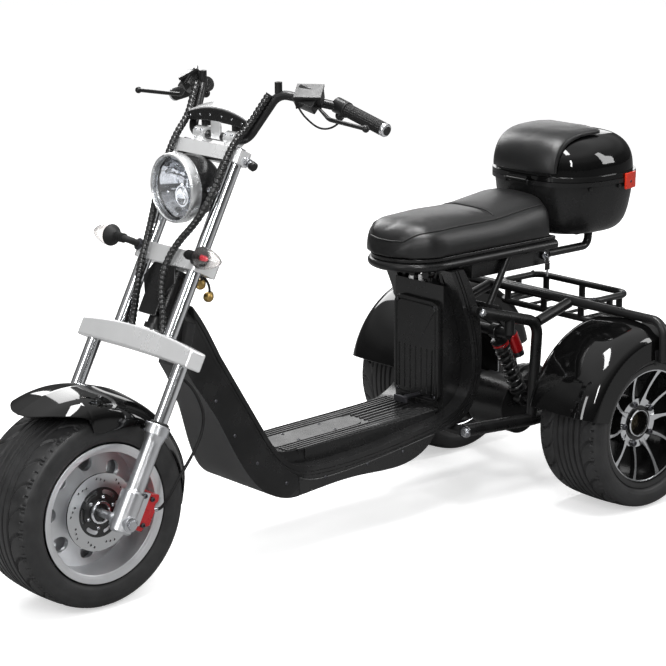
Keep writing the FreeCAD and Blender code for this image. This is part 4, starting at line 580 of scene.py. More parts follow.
def tread_depth(arc, turn, radius, half, rings, side):
    """How deep the tread is cut at a place: rings round the tyre, hooked cuts and notches at its shoulders."""
    depth = max(groove(abs(arc) - place, width, 0.0007) for place, width in rings)
    inner = sum(rings[-1])
    span = half * 1.06 - inner
    share = (abs(arc) - inner) / span
    if 0 < share < 1:
        hand = side if arc > 0 else -side
        slope = 3 * HOOK * (1 - share) ** 2 * radius / span
        phase = (turn + hand * HOOK * (1 - share) ** 3) % PITCH
        distance = min(phase, PITCH - phase) * radius / math.sqrt(1 + slope * slope)
        hook = groove(distance, 0.0034 * (1 - 0.35 * share), 0.001) * (1 - smoothstep(0.88, 1.0, share))
        notch = PITCH / 3
        phase = (turn + notch / 2) % notch
        distance = min(phase, notch - phase) * radius
        shoulder = smoothstep(0.7, 0.76, share) * (1 - smoothstep(0.92, 1.0, share))
        depth = max(depth, hook, 0.7 * groove(distance, 0.0016, 0.001) * shoulder)
    return depth


def build_tyre(name, node, body, centre, half, section, rings, side):
    line = tyre_outline(half, section)
    arcs = [0.0]
    for a, b in zip(line, line[1:]):
        arcs.append(arcs[-1] + (b - a).length)
    middle = arcs[-1] / 2
    normals = []
    for i, p in enumerate(line):
        run = (line[min(i + 1, len(line) - 1)] - line[max(i - 1, 0)]).normalized()
        out = Vector((run.y, -run.x))
        inward = out.x * p.x < 0 or (out.y < 0 and p.y > RIM_R + section * 0.9)
        normals.append(-out if inward else out)
    verts = []
    for step in range(TYRE_STEPS):
        turn = 2 * math.pi * step / TYRE_STEPS
        cos_t, sin_t = math.cos(turn), math.sin(turn)
        for p, out, along in zip(line, normals, arcs):
            arc = along - middle
            cut = TREAD_DEEP * tread_depth(arc, turn, p.y, middle * 0.62, rings, side)
            wall = abs(arc) - middle * 0.66
            if wall > 0:
                ridge = abs((wall * 1000) % 9 - 4.5)
                cut = max(cut, WALL_DEEP * (1 - smoothstep(0.3, 1.1, ridge)))
            x, radius = p - out * cut
            verts.append(centre + Vector((x, cos_t * radius, sin_t * radius)))
        for x in (-half * 0.87, half * 0.87):
            verts.append(centre + Vector((x, cos_t * (RIM_R + 0.0006), sin_t * (RIM_R + 0.0006))))
    piece = from_faces(name, verts, bands(TYRE_STEPS, len(line) + 2, True), 50)
    own(piece, tyre_rubber, body, "tyre_rubber", node)


build_tyre("front_tyre_tread", "front_tyre", FRONT_WHEEL, at(0, 0, FRONT_R * 1000), 0.107, 0.066,
           ((0.006, 0.0026), (0.026, 0.0028), (0.046, 0.0032)), 1)
for side, sign in WHEELS:
    build_tyre("rear_tyre_tread_" + side, "rear_tyre_" + side, "rear_wheel_" + side,
               at(sign * 350, 1490, REAR_R * 1000), 0.104, 0.056,
               ((0.008, 0.0026), (0.028, 0.0028), (0.047, 0.0032)), sign)


# Front fender: a thin shell swept round a centre ahead of the axle, trimmed at its edge, nose and tail

FENDER_CENTRE = (-0.022, 0.234)
FENDER_CROWN = 0.285
FENDER_SHOULDER = 0.230
FENDER_EDGE = 0.180
FENDER_HALF = 0.119
FENDER_WALL = 0.0035
FENDER_START = math.radians(-29.5)
FENDER_END = math.radians(99)
FENDER_ROWS = 120
FENDER_POINTS = 26
FENDER_ARCH = ((0, 1), (0.56, 0.85), (0.84, 0.6), (0.96, 0.3), (1, 0))
EDGE_LINE = ((-0.659, 0.957), (-0.574, 0.893), (-0.454, 0.827), (-0.241, 0.75), (-0.053, 0.706), (0.156, 0.67),
             (0.3, 0.62), (0.4, 0.585), (0.46, 0.64), (0.62, 0.49), (0.74, 0.27), (0.79, 0.05), (0.8, -0.3))
NOSE_LINE = ((0, -0.572), (0.138, -0.537), (0.276, -0.446), (0.372, -0.308), (0.425, -0.106), (0.446, 0))
TAIL_LINE = ((0.195, -0.4), (0.21, -0.1), (0.27, 0.15), (0.345, 0.45), (0.43, 0.75))


def limit_at(line, key, value, result):
    """The line's result coordinate where its key coordinate first reaches a value."""
    for a, b in zip(line, line[1:]):
        low, high = sorted((a[key], b[key]))
        if low <= value <= high and high > low:
            return a[result] + (b[result] - a[result]) * (value - a[key]) / (b[key] - a[key])
    return min(line[-1], line[0], key=lambda end: abs(value - end[key]))[result]


def build_fender():
    edge_line, nose_line, tail_line = [through([Vector(p) * FENDER_CROWN for p in line], [14] * (len(line) - 1))
                                       for line in (EDGE_LINE, NOSE_LINE, TAIL_LINE)]
    arch = [Vector((x * FENDER_HALF, FENDER_SHOULDER + z * (FENDER_CROWN - FENDER_SHOULDER))) for x, z in FENDER_ARCH]
    section = through(arch, [30] * 4)
    drop = FENDER_EDGE - FENDER_SHOULDER
    section += [Vector((FENDER_HALF, FENDER_SHOULDER + drop * step / 40)) for step in range(1, 41)]

    def kept(turn, point):
        """Whether the trim lines leave this point of the section at a turn."""
        x, r = point
        y = FENDER_CENTRE[0] + r * math.sin(turn)
        z = FENDER_CENTRE[1] + r * math.cos(turn) - FRONT_R
        if y < 0.8 * FENDER_CROWN and z > -0.3 * FENDER_CROWN and z < limit_at(edge_line, 0, y, 1):
            return False
        if y < 0 and x > (limit_at(nose_line, 1, y, 0) if y > nose_line[0][1] else -0.001):
            return False
        return z >= -1 and not (y > 0 and x > limit_at(tail_line, 1, z, 0))

    verts = []
    for step in range(FENDER_ROWS + 1):
        turn = FENDER_START + (FENDER_END - FENDER_START) * step / FENDER_ROWS
        reach = 0
        while reach < len(section) - 1 and kept(turn, section[reach + 1]):
            reach += 1
        side = section[:reach + 1]
        if reach < len(section) - 1:
            low, high = 0.0, 1.0
            for again in range(8):
                middle = (low + high) / 2
                if kept(turn, section[reach].lerp(section[reach + 1], middle)):
                    low = middle
                else:
                    high = middle
            side.append(section[reach].lerp(section[reach + 1], low))
        lengths = [0.0]
        for a, b in zip(side, side[1:]):
            lengths.append(lengths[-1] + (b - a).length)
        left = []
        for k in range(FENDER_POINTS + 1):
            want = lengths[-1] * k / FENDER_POINTS
            i = 0
            while i < len(side) - 2 and lengths[i + 1] < want:
                i += 1
            span = max(lengths[i + 1] - lengths[i], 1e-9) if len(side) > 1 else 1
            x, r = side[i].lerp(side[min(i + 1, len(side) - 1)], min(1, (want - lengths[i]) / span))
            y, z = FENDER_CENTRE[0] + r * math.sin(turn), FENDER_CENTRE[1] + r * math.cos(turn)
            left.append(Vector((x, y - ORIGIN, z)))
        verts += [Vector((-p.x, p.y, p.z)) for p in left[:0:-1]] + left
    wide = 2 * FENDER_POINTS + 1
    faces = [[r * wide + k, r * wide + k + 1, (r + 1) * wide + k + 1, (r + 1) * wide + k]
             for r in range(FENDER_ROWS) for k in range(wide - 1)]
    piece = from_faces("front_fender_shell", verts, faces, 60)
    if piece.data.polygons[FENDER_ROWS // 2 * (wide - 1) + FENDER_POINTS].normal.z < 0:
        piece.data.flip_normals()
    wall = piece.modifiers.new("wall", "SOLIDIFY")
    wall.thickness = FENDER_WALL
    wall.offset = -1
    soften(piece, 0.0012, 2, 50, weighted=False)
    shade(piece.data, 45)
    return piece


own(build_fender(), gloss_black, STEERING, GLOSS_SLOT, "front_fender")
head_axes = (X_AXIS, HEAD_BACK, HEAD_UP)
ears = [rounded_block(head(side * 131, 0, 223), head_axes, (0.0155, 0.005, 0.010), 0.0012, 2) for side in SIDES]
build("front_fender_ears", ears, gloss_black, STEERING, GLOSS_SLOT, "front_fender")


# Yoke: a bowed bar with a hub on the steering line and a stem above it

def bowed(half, steps, low, low_rise, high, high_rise, place):
    """An arched line and, backwards, a flatter one below it: together the outline of a bowed bar."""
    spread = [half * (step / steps - 1) for step in range(2 * steps + 1)]
    upper = [place(x, high + high_rise * (1 - (x / half) ** 2)) for x in spread]
    lower = [place(x, low + low_rise * (1 - (x / half) ** 2)) for x in spread]
    return upper, lower[::-1]


top_line, low_line = bowed(217, 24, 376, 5, 420, 17, lambda x, level: head(x, -23, level))
own(slab("yoke_bar", top_line + low_line, HEAD_BACK * 0.046, 0.005, 4), silver_paint, STEERING, "silver_paint", "yoke")
build("yoke_hub", [lathe(head(0, 30, 387), HEAD_UP, [(0, 0.025), (0.001, 0.026), (0.043, 0.026), (0.044, 0.025)]),
                   lathe(head(0, 30, 409), HEAD_UP, [(0, 0.014), (0.208, 0.014)], 32)],
      silver_paint, STEERING, "silver_paint", "yoke")


# Seat frame: a tube bent round the nose, two struts, the pan and the box under it

def nose_loop(radius, centre, z):
    """Points round a U whose front is half a circle, from the rear left to the rear right."""
    side = [(radius, centre + (1470 - centre) * step / 6) for step in range(6, 0, -1)]
    turns = [math.pi * step / 32 for step in range(33)]
    front = [(radius * math.cos(turn), centre - radius * math.sin(turn)) for turn in turns]
    return [at(x, station, z) for x, station in side + front + [(-x, station) for x, station in side[::-1]]]


rail = swept(nose_loop(112, 1066, 660), 0.012, 20)
struts = [swept([at(side * 108, 1225, 526), at(side * 108, 1304, 660)], 0.009, 20) for side in SIDES]
build("seat_frame", [rail] + struts, black_coat, CHASSIS, METAL_SLOT, "seat_rail")
pan = slab("seat_pan", nose_loop(114, 1064, 672.3), Z_AXIS * 0.010, 0.002)
own(pan, satin_plastic, CHASSIS, SATIN_SLOT, "under_seat_box")
build("under_seat_bin", [rounded_block(at(0, 1321, 638.6), AXES, (0.096, 0.145, 0.0336), 0.003),
                         lathe(at(90, 1444, 627), X_AXIS, [(0, 0.009), (0.0115, 0.009), (0.012, 0.0085)], 32)],
      satin_plastic, CHASSIS, SATIN_SLOT, "under_seat_box")


# Seat and lid pad: swollen cloth between pinned seams, then piping along the seams

SEAT_SHARES = ((0, 0.5, 0.16), (0.032, 0.76, 0.42), (0.105, 0.92, 0.7), (0.253, 0.99, 0.81), (0.443, 1, 0.84),
               (0.633, 1, 0.84), (0.738, 1, 0.9), (0.844, 1, 0.97), (0.95, 0.99, 1),
               (0.985, 0.96, 0.96), (1, 0.9, 0.88))
SEAT_FRONT = 0.9
SEAT_LONG = 0.546
SEAT_HALF = 0.131
SEAT_HIGH = 0.117
SEAT_BASE = 0.6826
NOSE_CENTRE = 1.068
NOSE_REACH = 0.128
SEAM_FRONT = 0.962
SEAM_REAR = 1.432
SEAM_WIDE = 0.8
SEAM_HIGH = 0.82
PIPING_WIDE = 0.86
CROSS_STATION = 1.249


def seat_shape(station):
    """The cushion's half width and height above its base at a station of its solid."""
    share = max(0.0, min(1.0, (station - SEAT_FRONT) / SEAT_LONG))
    for a, b in zip(SEAT_SHARES, SEAT_SHARES[1:]):
        if share <= b[0]:
            t = (share - a[0]) / (b[0] - a[0])
            return SEAT_HALF * (a[1] + (b[1] - a[1]) * t), SEAT_HIGH * (a[2] + (b[2] - a[2]) * t)


def nose_width(station):
    """The round nose's half width at a station."""
    return SEAT_HALF * math.sqrt(max(0.0, 1 - (max(0.0, NOSE_CENTRE - station) / NOSE_REACH) ** 2))


def seat_section(station):
    """The leather's half width and height at a station: its nose is round, and further back than the solid's."""
    if station >= NOSE_CENTRE:
        return seat_shape(station)
    source = NOSE_CENTRE - (NOSE_CENTRE - station) * (NOSE_CENTRE - SEAT_FRONT) / NOSE_REACH
    return nose_width(station), seat_shape(source)[1]


def seat_nose(co):
    """Where the leather's round nose puts a point of the solid."""
    station = co.y + ORIGIN
    if station >= NOSE_CENTRE:
        return co
    moved = NOSE_CENTRE - (NOSE_CENTRE - station) * NOSE_REACH / (NOSE_CENTRE - SEAT_FRONT)
    return Vector((co.x * max(0.012, nose_width(moved)) / seat_shape(station)[0], moved - ORIGIN, co.z))


def seat_seam(x, y, z):
    """How near a point of the seat is to one of its seams."""
    station = y + ORIGIN
    width, height = seat_section(station)
    near = abs((z - SEAT_BASE) - SEAM_HIGH * height) if abs(x) > 0.6 * width or station < 0.965 else 1.0
    if abs(x) < SEAM_WIDE * width and z - SEAT_BASE > 0.6 * height:
        near = min(near, abs(station - CROSS_STATION))
    return near


pad_low, pad_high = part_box("lid_pad")


def pad_seam(x, y, z):
    """How near a point of the lid's pad is to one of its seams."""
    low = abs(z - pad_low.z - 0.004) if y - pad_low.y < 0.3 * (pad_high.y - pad_low.y) else 1.0
    return min(abs(0.114 - abs(x)), low, abs(pad_high.y - y - 0.004))


CLOTH = {"quality": 4, "mass": 0.3, "tension_stiffness": 12, "compression_stiffness": 12, "bending_stiffness": 0.6,
         "use_pressure": True, "uniform_pressure_force": 4, "vertex_group_mass": "pins"}
CLOTH_FRAMES = 20


def swollen(name, node, body, seam, base_z, voxel, cap, push, shape=None):
    """The node's own shape remeshed, swollen as cloth between its pinned seams, and made smooth."""
    piece = link(name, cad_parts[node].data.copy())
    piece.data.materials.clear()
    if shape:
        for vertex in piece.data.vertices:
            vertex.co = shape(vertex.co)
    remesh = piece.modifiers.new("remesh", "REMESH")
    remesh.mode = "VOXEL"
    remesh.voxel_size = voxel
    apply_modifiers(piece)
    vertices = piece.data.vertices
    pins = piece.vertex_groups.new(name="pins")
    for vertex, normal in zip(vertices, [v.normal.copy() for v in vertices]):
        distance = seam(*vertex.co)
        vertex.co -= normal * (push * (1 + 1.1 * max(0, 1 - distance / 0.011)))
        hold = 1.0 if distance < voxel * 0.8 or vertex.co.z < base_z + 0.006 else 0.0
        pins.add([vertex.index], hold, "REPLACE")
    start = [v.co.copy() for v in vertices]
    cloth = piece.modifiers.new("cloth", "CLOTH")
    for key, value in CLOTH.items():
        setattr(cloth.settings, key, value)
    cloth.settings.effector_weights.gravity = 0
    cloth.point_cache.frame_start = 1
    cloth.point_cache.frame_end = CLOTH_FRAMES
    for step in range(1, CLOTH_FRAMES + 1):
        bpy.context.scene.frame_set(step)
    apply_modifiers(piece)
    for vertex, origin in zip(piece.data.vertices, start):
        move = vertex.co - origin
        if move.length > cap:
            vertex.co = origin + move * (cap / move.length)
    bpy.context.scene.frame_set(1)
    piece.vertex_groups.clear()
    smooth = piece.modifiers.new("smooth", "CORRECTIVE_SMOOTH")
    smooth.factor = 0.5
    smooth.iterations = 4
    smooth.use_only_smooth = True
    rounded = piece.modifiers.new("subdivide", "SUBSURF")
    rounded.levels = 1
    rounded.render_levels = 1
    apply_modifiers(piece)
    shade(piece.data, 180)
    return own(piece, leather, body, "seat_leather", node)


def tree_of(piece):
    return BVHTree.FromObject(piece, bpy.context.evaluated_depsgraph_get())


def piped(tree, points, lift, radius):
    """A cord laid on a surface near the points."""
    out = []
    for point in points:
        hit, normal, index, distance = tree.find_nearest(point)
        out.append(hit + normal * lift)
    for again in range(3):
        out = [out[0]] + [(a + b * 2 + c) / 4 for a, b, c in zip(out, out[1:], out[2:])] + [out[-1]]
    return swept(out, radius, 8)


def across(share, shift, rise):
    """Points over the seat at its cross seam."""
    width, height = seat_section(CROSS_STATION)
    return [Vector((width * share * (step / 20 - 1), CROSS_STATION + shift - ORIGIN, SEAT_BASE + height * rise))
            for step in range(41)]


seat = swollen("seat_leather", "seat_cushion", CHASSIS, seat_seam, SEAT_BASE, 0.006, 0.007, 0.0035, seat_nose)
seat_tree = tree_of(seat)
cords = []
for side in SIDES:
    target = []
    for step in range(90):
        station = SEAM_FRONT + (SEAM_REAR - SEAM_FRONT) * step / 89
        width, height = seat_section(station)
        target.append(Vector((side * width * PIPING_WIDE, station - ORIGIN, SEAT_BASE + SEAM_HIGH * height)))
    cords.append(piped(seat_tree, target, 0.0008, 0.0021))
width, height = seat_section(SEAM_FRONT)
nose = []
for step in range(41):
    turn = math.pi * step / 40
    nose.append(Vector((math.cos(turn) * width * PIPING_WIDE, SEAM_FRONT - ORIGIN - math.sin(turn) * 0.018,
                        SEAT_BASE + SEAM_HIGH * height)))
cords.append(piped(seat_tree, nose, 0.0008, 0.0021))
cords.append(piped(seat_tree, across(PIPING_WIDE, 0, 1.05), 0.0006, 0.0017))
build("seat_piping", cords, piping, CHASSIS, "seat_leather")

STITCH = 0.0045
STITCH_GAP = 0.0035
stitches = []
for shift in (-0.007, 0.007):
    path = resampled(across(SEAM_WIDE, shift, 1.02), STITCH + STITCH_GAP)
    for point, after in zip(path, path[1:]):
        hit_a, normal_a, index, distance = seat_tree.find_nearest(point)
        hit_b, normal_b, index, distance = seat_tree.find_nearest(point + (after - point).normalized() * STITCH)
        stitches.append(swept([hit_a, (hit_a + hit_b) / 2 + (normal_a + normal_b) * 0.00035, hit_b], 0.00045, 5))
build("seat_stitches", stitches, thread, CHASSIS, "seat_leather")

pad = swollen("lid_pad_leather", "lid_pad", LID, pad_seam, pad_low.z - 1, 0.005, 0.004, 0.002)
pad_tree = tree_of(pad)
cords = []
for side in SIDES:
    middle = Vector((side * 0.1165, 0.835, 0.81))
    rim = []
    for step in range(60):
        turn = math.pi * 0.5 * step / 59
        place = middle + Vector((0, -math.cos(turn), math.sin(turn))) * 0.6
        hit, normal, index, distance = pad_tree.ray_cast(place, (middle - place).normalized())
        if hit:
            rim.append(hit + normal * 0.0006)
    if len(rim) > 4:
        cords.append(swept(rim, 0.0022, 8))
if cords:
    build("pad_piping", cords, piping, LID, "seat_leather")


# Cables: spiral-wrapped looms from the bar down to the yoke, and the brake hose

LEFT_LOOM = ((138, -9, 1042), (127, -12, 1000), (115, -16, 955), (109, -34, 905), (107, -36, 850), (105, -36, 795),
             (98, -36, 740), (76, -36, 692), (48, -36, 652), (33, -36, 606), (32, -33, 556), (44, -20, 508),
             (57, -4, 470), (60, 4, 438.4))
RIGHT_LOOM = ((-138, -9, 1042), (-127, -12, 1000), (-115, -16, 955), (-109, -34, 905), (-107, -37, 850),
              (-103, -38, 800), (-95, -37, 750), (-82, -36, 700), (-72, -36, 655), (-64, -36, 606),
              (-55, -34, 558), (-50, -24, 512), (-56, -8, 472), (-60, 4, 438.6))
HOSE = ((136, 12, 384), (136, 14, 370), (135, 40, 356), (135, 84, 344), (135, 128, 314), (135, 152, 284),
        (135, 160, 248), (135, 158, 212), (135, 151, 176), (135, 143, 143), (134, 139, 110), (126, 138, 72),
        (112, 136, 47), (112, 117.3, 47))
WRAP_STEP = 0.0016
WRAP_PITCH = 0.0115


def routed(route, step):
    """Even points along the smooth curve of a route that is given in the fork's frame."""
    return resampled(smooth_line([head(*p) for p in route]), step)


def wrap_size(share, turn, index):
    """The loom's radius under flat spiral tape: the gap between its turns runs round the tube."""
    phase = (index * WRAP_STEP / WRAP_PITCH + turn / (2 * math.pi)) % 1
    edge = min(phase, 1 - phase) / 0.17
    return 0.009 - 0.0017 * max(0.0, 1 - edge) - 0.0004 * (0.5 + 0.5 * math.cos(2 * math.pi * phase))


build("cable_looms", [swept(routed(route, WRAP_STEP), wrap_size) for route in (LEFT_LOOM, RIGHT_LOOM)],
      loom_black, STEERING, "cable_black", "cables")
hose = routed(HOSE, 0.006)
build("brake_hose", [swept(hose, 0.0038, 12)], grip_rubber, STEERING, "cable_black", "cables")
ferrules = [swept(hose[index:index + 4], 0.0052) for index in (1, len(hose) - 4)]
build("hose_ferrules", ferrules, bolt_steel, STEERING, "cable_black")


# Shocks: damper, coil, red collar and red reservoir

COIL_TURNS = 7.5
COIL_STEPS = 210
EYE = ((-0.012, 0.0093), (-0.012, 0.0185), (-0.0105, 0.02), (0.0105, 0.02), (0.012, 0.0185), (0.012, 0.0093))
dampers, springs, reds, steels = [], [], [], []
for side in SIDES:
    top = at(side * 100, 1262, 453)
    low = at(side * 100, 1362, 252)
    run = (low - top).normalized()
    span = (low - top).length
    body_line = [(0.028, 0.013), (0.03, 0.0235), (0.034, 0.0235), (0.036, 0.0185), (0.060, 0.0185), (0.062, 0.0125),
                 (span - 0.062, 0.0125), (span - 0.060, 0.0165), (span - 0.036, 0.0165), (span - 0.034, 0.0235),
                 (span - 0.029, 0.0235), (span - 0.027, 0.012)]
    dampers.append(lathe(top, run, body_line, 32))
    dampers += [lathe(end, X_AXIS, EYE, 32) for end in (top, low)]
    for end, sign in ((top, 1), (low, -1)):
        dampers.append(swept([end + run * (sign * 0.012), end + run * (sign * 0.03)], 0.011, 16))
    first, second = side_axes(run)
    helix = []
    for step in range(COIL_STEPS + 1):
        angle = 2 * math.pi * COIL_TURNS * step / COIL_STEPS
        along = 0.040 + (span - 0.078) * step / COIL_STEPS
        helix.append(top + run * along + (first * math.cos(angle) + second * math.sin(angle)) * 0.0192)
    springs.append(swept(helix, 0.0041, 10, start_axis=run))
    across_run = run.cross(X_AXIS).normalized()
    if across_run.y < 0:
        across_run = -across_run
    can = top + across_run * 0.044 + run * 0.034
    reds.append(lathe(top, run, [(0.0355, 0.0195), (0.0365, 0.0225), (0.045, 0.0225), (0.046, 0.0195)], 32))
    reds.append(lathe(can, run, [(0.006, 0.015), (0.008, 0.0168), (0.060, 0.0168), (0.062, 0.015)], 32))
    steels.append(lathe(can, run, [(0, 0.012), (0.001, 0.0155), (0.0065, 0.0155), (0.0075, 0.012)], 32))
    steels.append(lathe(can, run, [(0.061, 0.0145), (0.0615, 0.0155), (0.0765, 0.0155), (0.078, 0.012)], 32))
    bridge = can + run * 0.017
    dampers.append(swept([bridge, bridge - across_run * 0.044], 0.0075, 16))
for name, parts, material, slot in (("dampers", dampers, black_coat, "shock_black"),
                                    ("springs", springs, spring_black, "shock_black"),
                                    ("reds", reds, red_anodised, "caliper_red"),
                                    ("caps", steels, dark_steel, "shock_black")):
    build("shock_" + name, parts, material, CHASSIS, slot, "shocks")


# Turn signals: ribbed rubber stalk, cup, clear pointed lens with a red insert

RIB = ((-0.0016, 0.009), (-0.001, 0.0118), (0.001, 0.0118), (0.0016, 0.009))
CUP = ((-0.001, 0.0116), (0, 0.0126), (0.010, 0.022), (0.016, 0.0262), (0.0185, 0.0268), (0.0185, 0.0235))
MIRROR = ((0.012, 0.004), (0.0125, 0.0235), (0.0165, 0.0238), (0.0150, 0.012), (0.0145, 0.004))
BULB = ((0.0145, 0.0065), (0.030, 0.0065), (0.036, 0.0052), (0.0385, 0.0025), (0.039, 0.0003))
shell = [(0.0175 + 0.0735 * step / 18, 0.0262 * (1 - (step / 18) ** 1.9) ** 0.8 + 0.0004) for step in range(19)]
hollow = [(along - 0.0012, max(0.0001, radius - 0.0016)) for along, radius in shell]
stalks, mirrors, lenses, inserts = [], [], [], []
for side in SIDES:
    root = head(side * 110, -22.3, 624)
    knee = head(side * 110, -58, 624)
    base = head(side * 158, -58, 624)
    out = X_AXIS * side
    back = (root - knee).normalized()
    stalks.append(swept([root, root.lerp(knee, 0.5), knee + back * 0.014, knee + back * 0.005 + out * 0.005,
                         knee + out * 0.014, base], 0.0085, 16))
    stalks += [lathe(base - out * (0.004 + index * 0.0068), out, RIB, 20) for index in range(5)]
    stalks.append(lathe(base, out, CUP, 32))
    lenses.append(lathe(base, out, shell + hollow[::-1], 36, True))
    mirrors.append(lathe(base, out, MIRROR, 36))
    inserts.append(lathe(base, out, BULB, 20))
for name, parts, material, slot in (("stalks", stalks, grip_rubber, "grip_rubber"),
                                    ("reflectors", mirrors, reflector, "signal_lens"),
                                    ("lenses", lenses, signal_glass, "signal_lens"),
                                    ("inserts", inserts, red_lens, "signal_lens")):
    build("signal_" + name, parts, material, STEERING, slot, "turn_signals")


# Dash: an arched panel with a silver top, on two legs, and its plate in the middle

DASH_HALF = 0.118
DASH_DEPTH = Vector((0, 0.042, 0.010))
dash_middle = bar_point(0, 14, 28)
dash_front = dash_middle.y - 0.022
dash_low = dash_middle.z
upper, lower = bowed(DASH_HALF, 16, dash_low, 0.006, dash_low + 0.017, 0.021, lambda x, z: Vector((x, dash_front, z)))
own(slab("dash_panel", upper + lower, DASH_DEPTH, 0.003), smooth_plastic, STEERING, SATIN_SLOT, "dash")
skin_low = [point + Vector((0, 0.004, -0.0002)) for point in upper[1:-1]]
skin_high = [point + Z_AXIS * 0.0046 for point in skin_low]
trim = slab("dash_trim", skin_high + skin_low[::-1], DASH_DEPTH * 0.86, 0.0012, 2)
own(trim, silver_paint, STEERING, "silver_paint", "dash")
leg_low = bar_point(0, 0, 0).z + 0.0185
leg_high = dash_low + 0.009
leg_half = (0.009, 0.014, (leg_high - leg_low) / 2)
legs = []
for side in SIDES:
    leg_middle = Vector((side * 0.058, dash_middle.y, (leg_low + leg_high) / 2))
    legs.append(rounded_block(leg_middle, AXES, leg_half, 0.0015, 2))
build("dash_legs", legs, black_coat, STEERING, METAL_SLOT, "dash")
badge = rounded_block(Vector((0, dash_front + 0.001, dash_low - 0.0125)), AXES, (0.017, 0.004, 0.0215), 0.0015, 2)
build("dash_plate", [badge], silver_paint, STEERING, "silver_paint", "dash")


# Grips: ribbed rubber sleeves with chrome end caps

GRIP_STEPS = 160
GRIP_LONG = 0.118
COLLAR = ((0, 0.0125), (0.0005, 0.0188), (0.0055, 0.0188), (0.0065, 0.0165))
GRIP_CAP = ((0, 0.0125), (0.0003, 0.0158), (0.001, 0.0164), (0.0080, 0.0164), (0.0098, 0.0152), (0.0108, 0.012),
            (0.0108, 0.006), (0.0095, 0.004))


def knurl(share, turn, index):
    band = (share * 6) % 1
    if band < 0.09 or band > 0.91:
        return 0.0163
    cell = abs(math.sin(turn * 9)) * abs(math.sin(share * 118 / 7.2 * math.pi))
    return 0.0152 + 0.0012 * min(1.0, 1.6 * cell)


sleeves, ends = [], []
for side in SIDES:
    start = bar_point(side * 262, 160, 80)
    run = (bar_point(side * 404, 172, 40) - start).normalized()
    first = start + run * 0.012
    sleeves.append(lathe(first, run, COLLAR, 36))
    line = [first + run * (0.006 + GRIP_LONG * step / GRIP_STEPS) for step in range(GRIP_STEPS + 1)]
    sleeves.append(swept(line, knurl, 54))
    ends.append(lathe(first + run * 0.1235, run, GRIP_CAP, 36))
build("grip_sleeves", sleeves, grip_rubber, STEERING, "grip_rubber", "grips")
build("grip_caps", ends, chrome, STEERING, "grip_rubber", "grips")


# Headlamp: faceted reflector bowl, low projector with its own lens, and side bolts

lamp_place = head(0, -73.5, 763)
LAMP_DEEP = 1.1
LAMP_WIDE = 1.04
BOWL_STEPS = 24
BOWL_COUNT = 72
RIM = ((0.0160, 0.0720), (0.0040, 0.0720), (0.0005, 0.0722), (-0.0016, 0.0732), (-0.0026, 0.0748), (-0.0022, 0.0766),
       (-0.0006, 0.0782), (0.0020, 0.0793), (0.0055, 0.0799), (0.0120, 0.0801), (0.0190, 0.0800), (0.0225, 0.0795),
       (0.0245, 0.0784), (0.0250, 0.0770), (0.0250, 0.0738), (0.0162, 0.0738))
BUCKET_SHARES = ((0, 1), (0.15, 0.998), (0.35, 0.98), (0.55, 0.92), (0.75, 0.76), (0.9, 0.5), (0.975, 0.23), (1, 0))
COVER = ((0.0022, 0.0715), (-0.0012, 0.062), (-0.0042, 0.045), (-0.0058, 0.026), (-0.0064, 0.0005),
         (-0.0034, 0.0005), (-0.0028, 0.026), (-0.0012, 0.045), (0.0018, 0.062), (0.0058, 0.0715))
PROJECTOR = ((-0.026, 0.0242), (0.0, 0.0242), (0.006, 0.0258), (0.0075, 0.0252), (0.0075, 0.0215), (0.002, 0.021))


def lamp_part(profile, count, loop=True, deep=LAMP_DEEP, shift=0.0):
    scaled = [(along * deep + shift, radius * LAMP_WIDE) for along, radius in profile]
    return lathe(lamp_place, Y_AXIS, scaled, count, loop)


build("headlamp_ring", [lamp_part(RIM, 96)], satin_alloy, STEERING, "silver_paint", "headlamp_bezel")
shell_line = smooth_line([(0, deep * 0.093, max(0.0005, wide * 0.0735)) for deep, wide in BUCKET_SHARES])
bucket = [(0.0163, 0.0715), (0.0168, 0.0735)] + [(0.025 + p.y, p.z) for p in shell_line]
bucket += [(along - 0.002, max(0.0004, radius - 0.002)) for along, radius in bucket[:0:-1]]
build("headlamp_shell", [lamp_part(bucket, 80)], smooth_plastic, STEERING, GLOSS_SLOT, "headlamp_bucket")
shares = [step / BOWL_STEPS for step in range(BOWL_STEPS + 1)]
bowl = [(0.0185 + 0.052 * (1 - share ** 2.1), 0.0012 + 0.0690 * share) for share in shares]
bowl_verts, bowl_faces = lamp_part(bowl, BOWL_COUNT, False)
for i, vert in enumerate(bowl_verts):
    ring, spot = divmod(i, BOWL_COUNT)
    ripple = 0.0011 * math.cos(spot / BOWL_COUNT * 36 * math.pi) * min(1.0, ring / 8) + 0.0009 * math.cos(ring * 1.3)
    bowl_verts[i] = vert + Y_AXIS * ripple
own(from_faces("lamp_reflector", bowl_verts, bowl_faces[:-2], 60), reflector, STEERING, "lamp_glass")
build("lamp_lens", [lamp_part(COVER, 72, True, 1, 0.004)], clear_glass, STEERING, "lamp_glass", "headlamp_lens")
beam = lamp_place - Z_AXIS * 0.022
build("lamp_projector", [lathe(beam + Y_AXIS * 0.038, -Y_AXIS, PROJECTOR, 40)], chrome, STEERING, "silver_paint")
turns = [math.pi * step / 20 for step in range(11)]
dome = [(0.001 + 0.0125 * math.cos(turn), 0.0212 * math.sin(turn) + 0.0002) for turn in turns]
build("lamp_projector_lens", [lathe(beam + Y_AXIS * 0.036, -Y_AXIS, dome, 40)], clear_glass, STEERING, "lamp_glass")


# Fork tubes: plain polished tubes between the sliders, the yoke and the top clamp

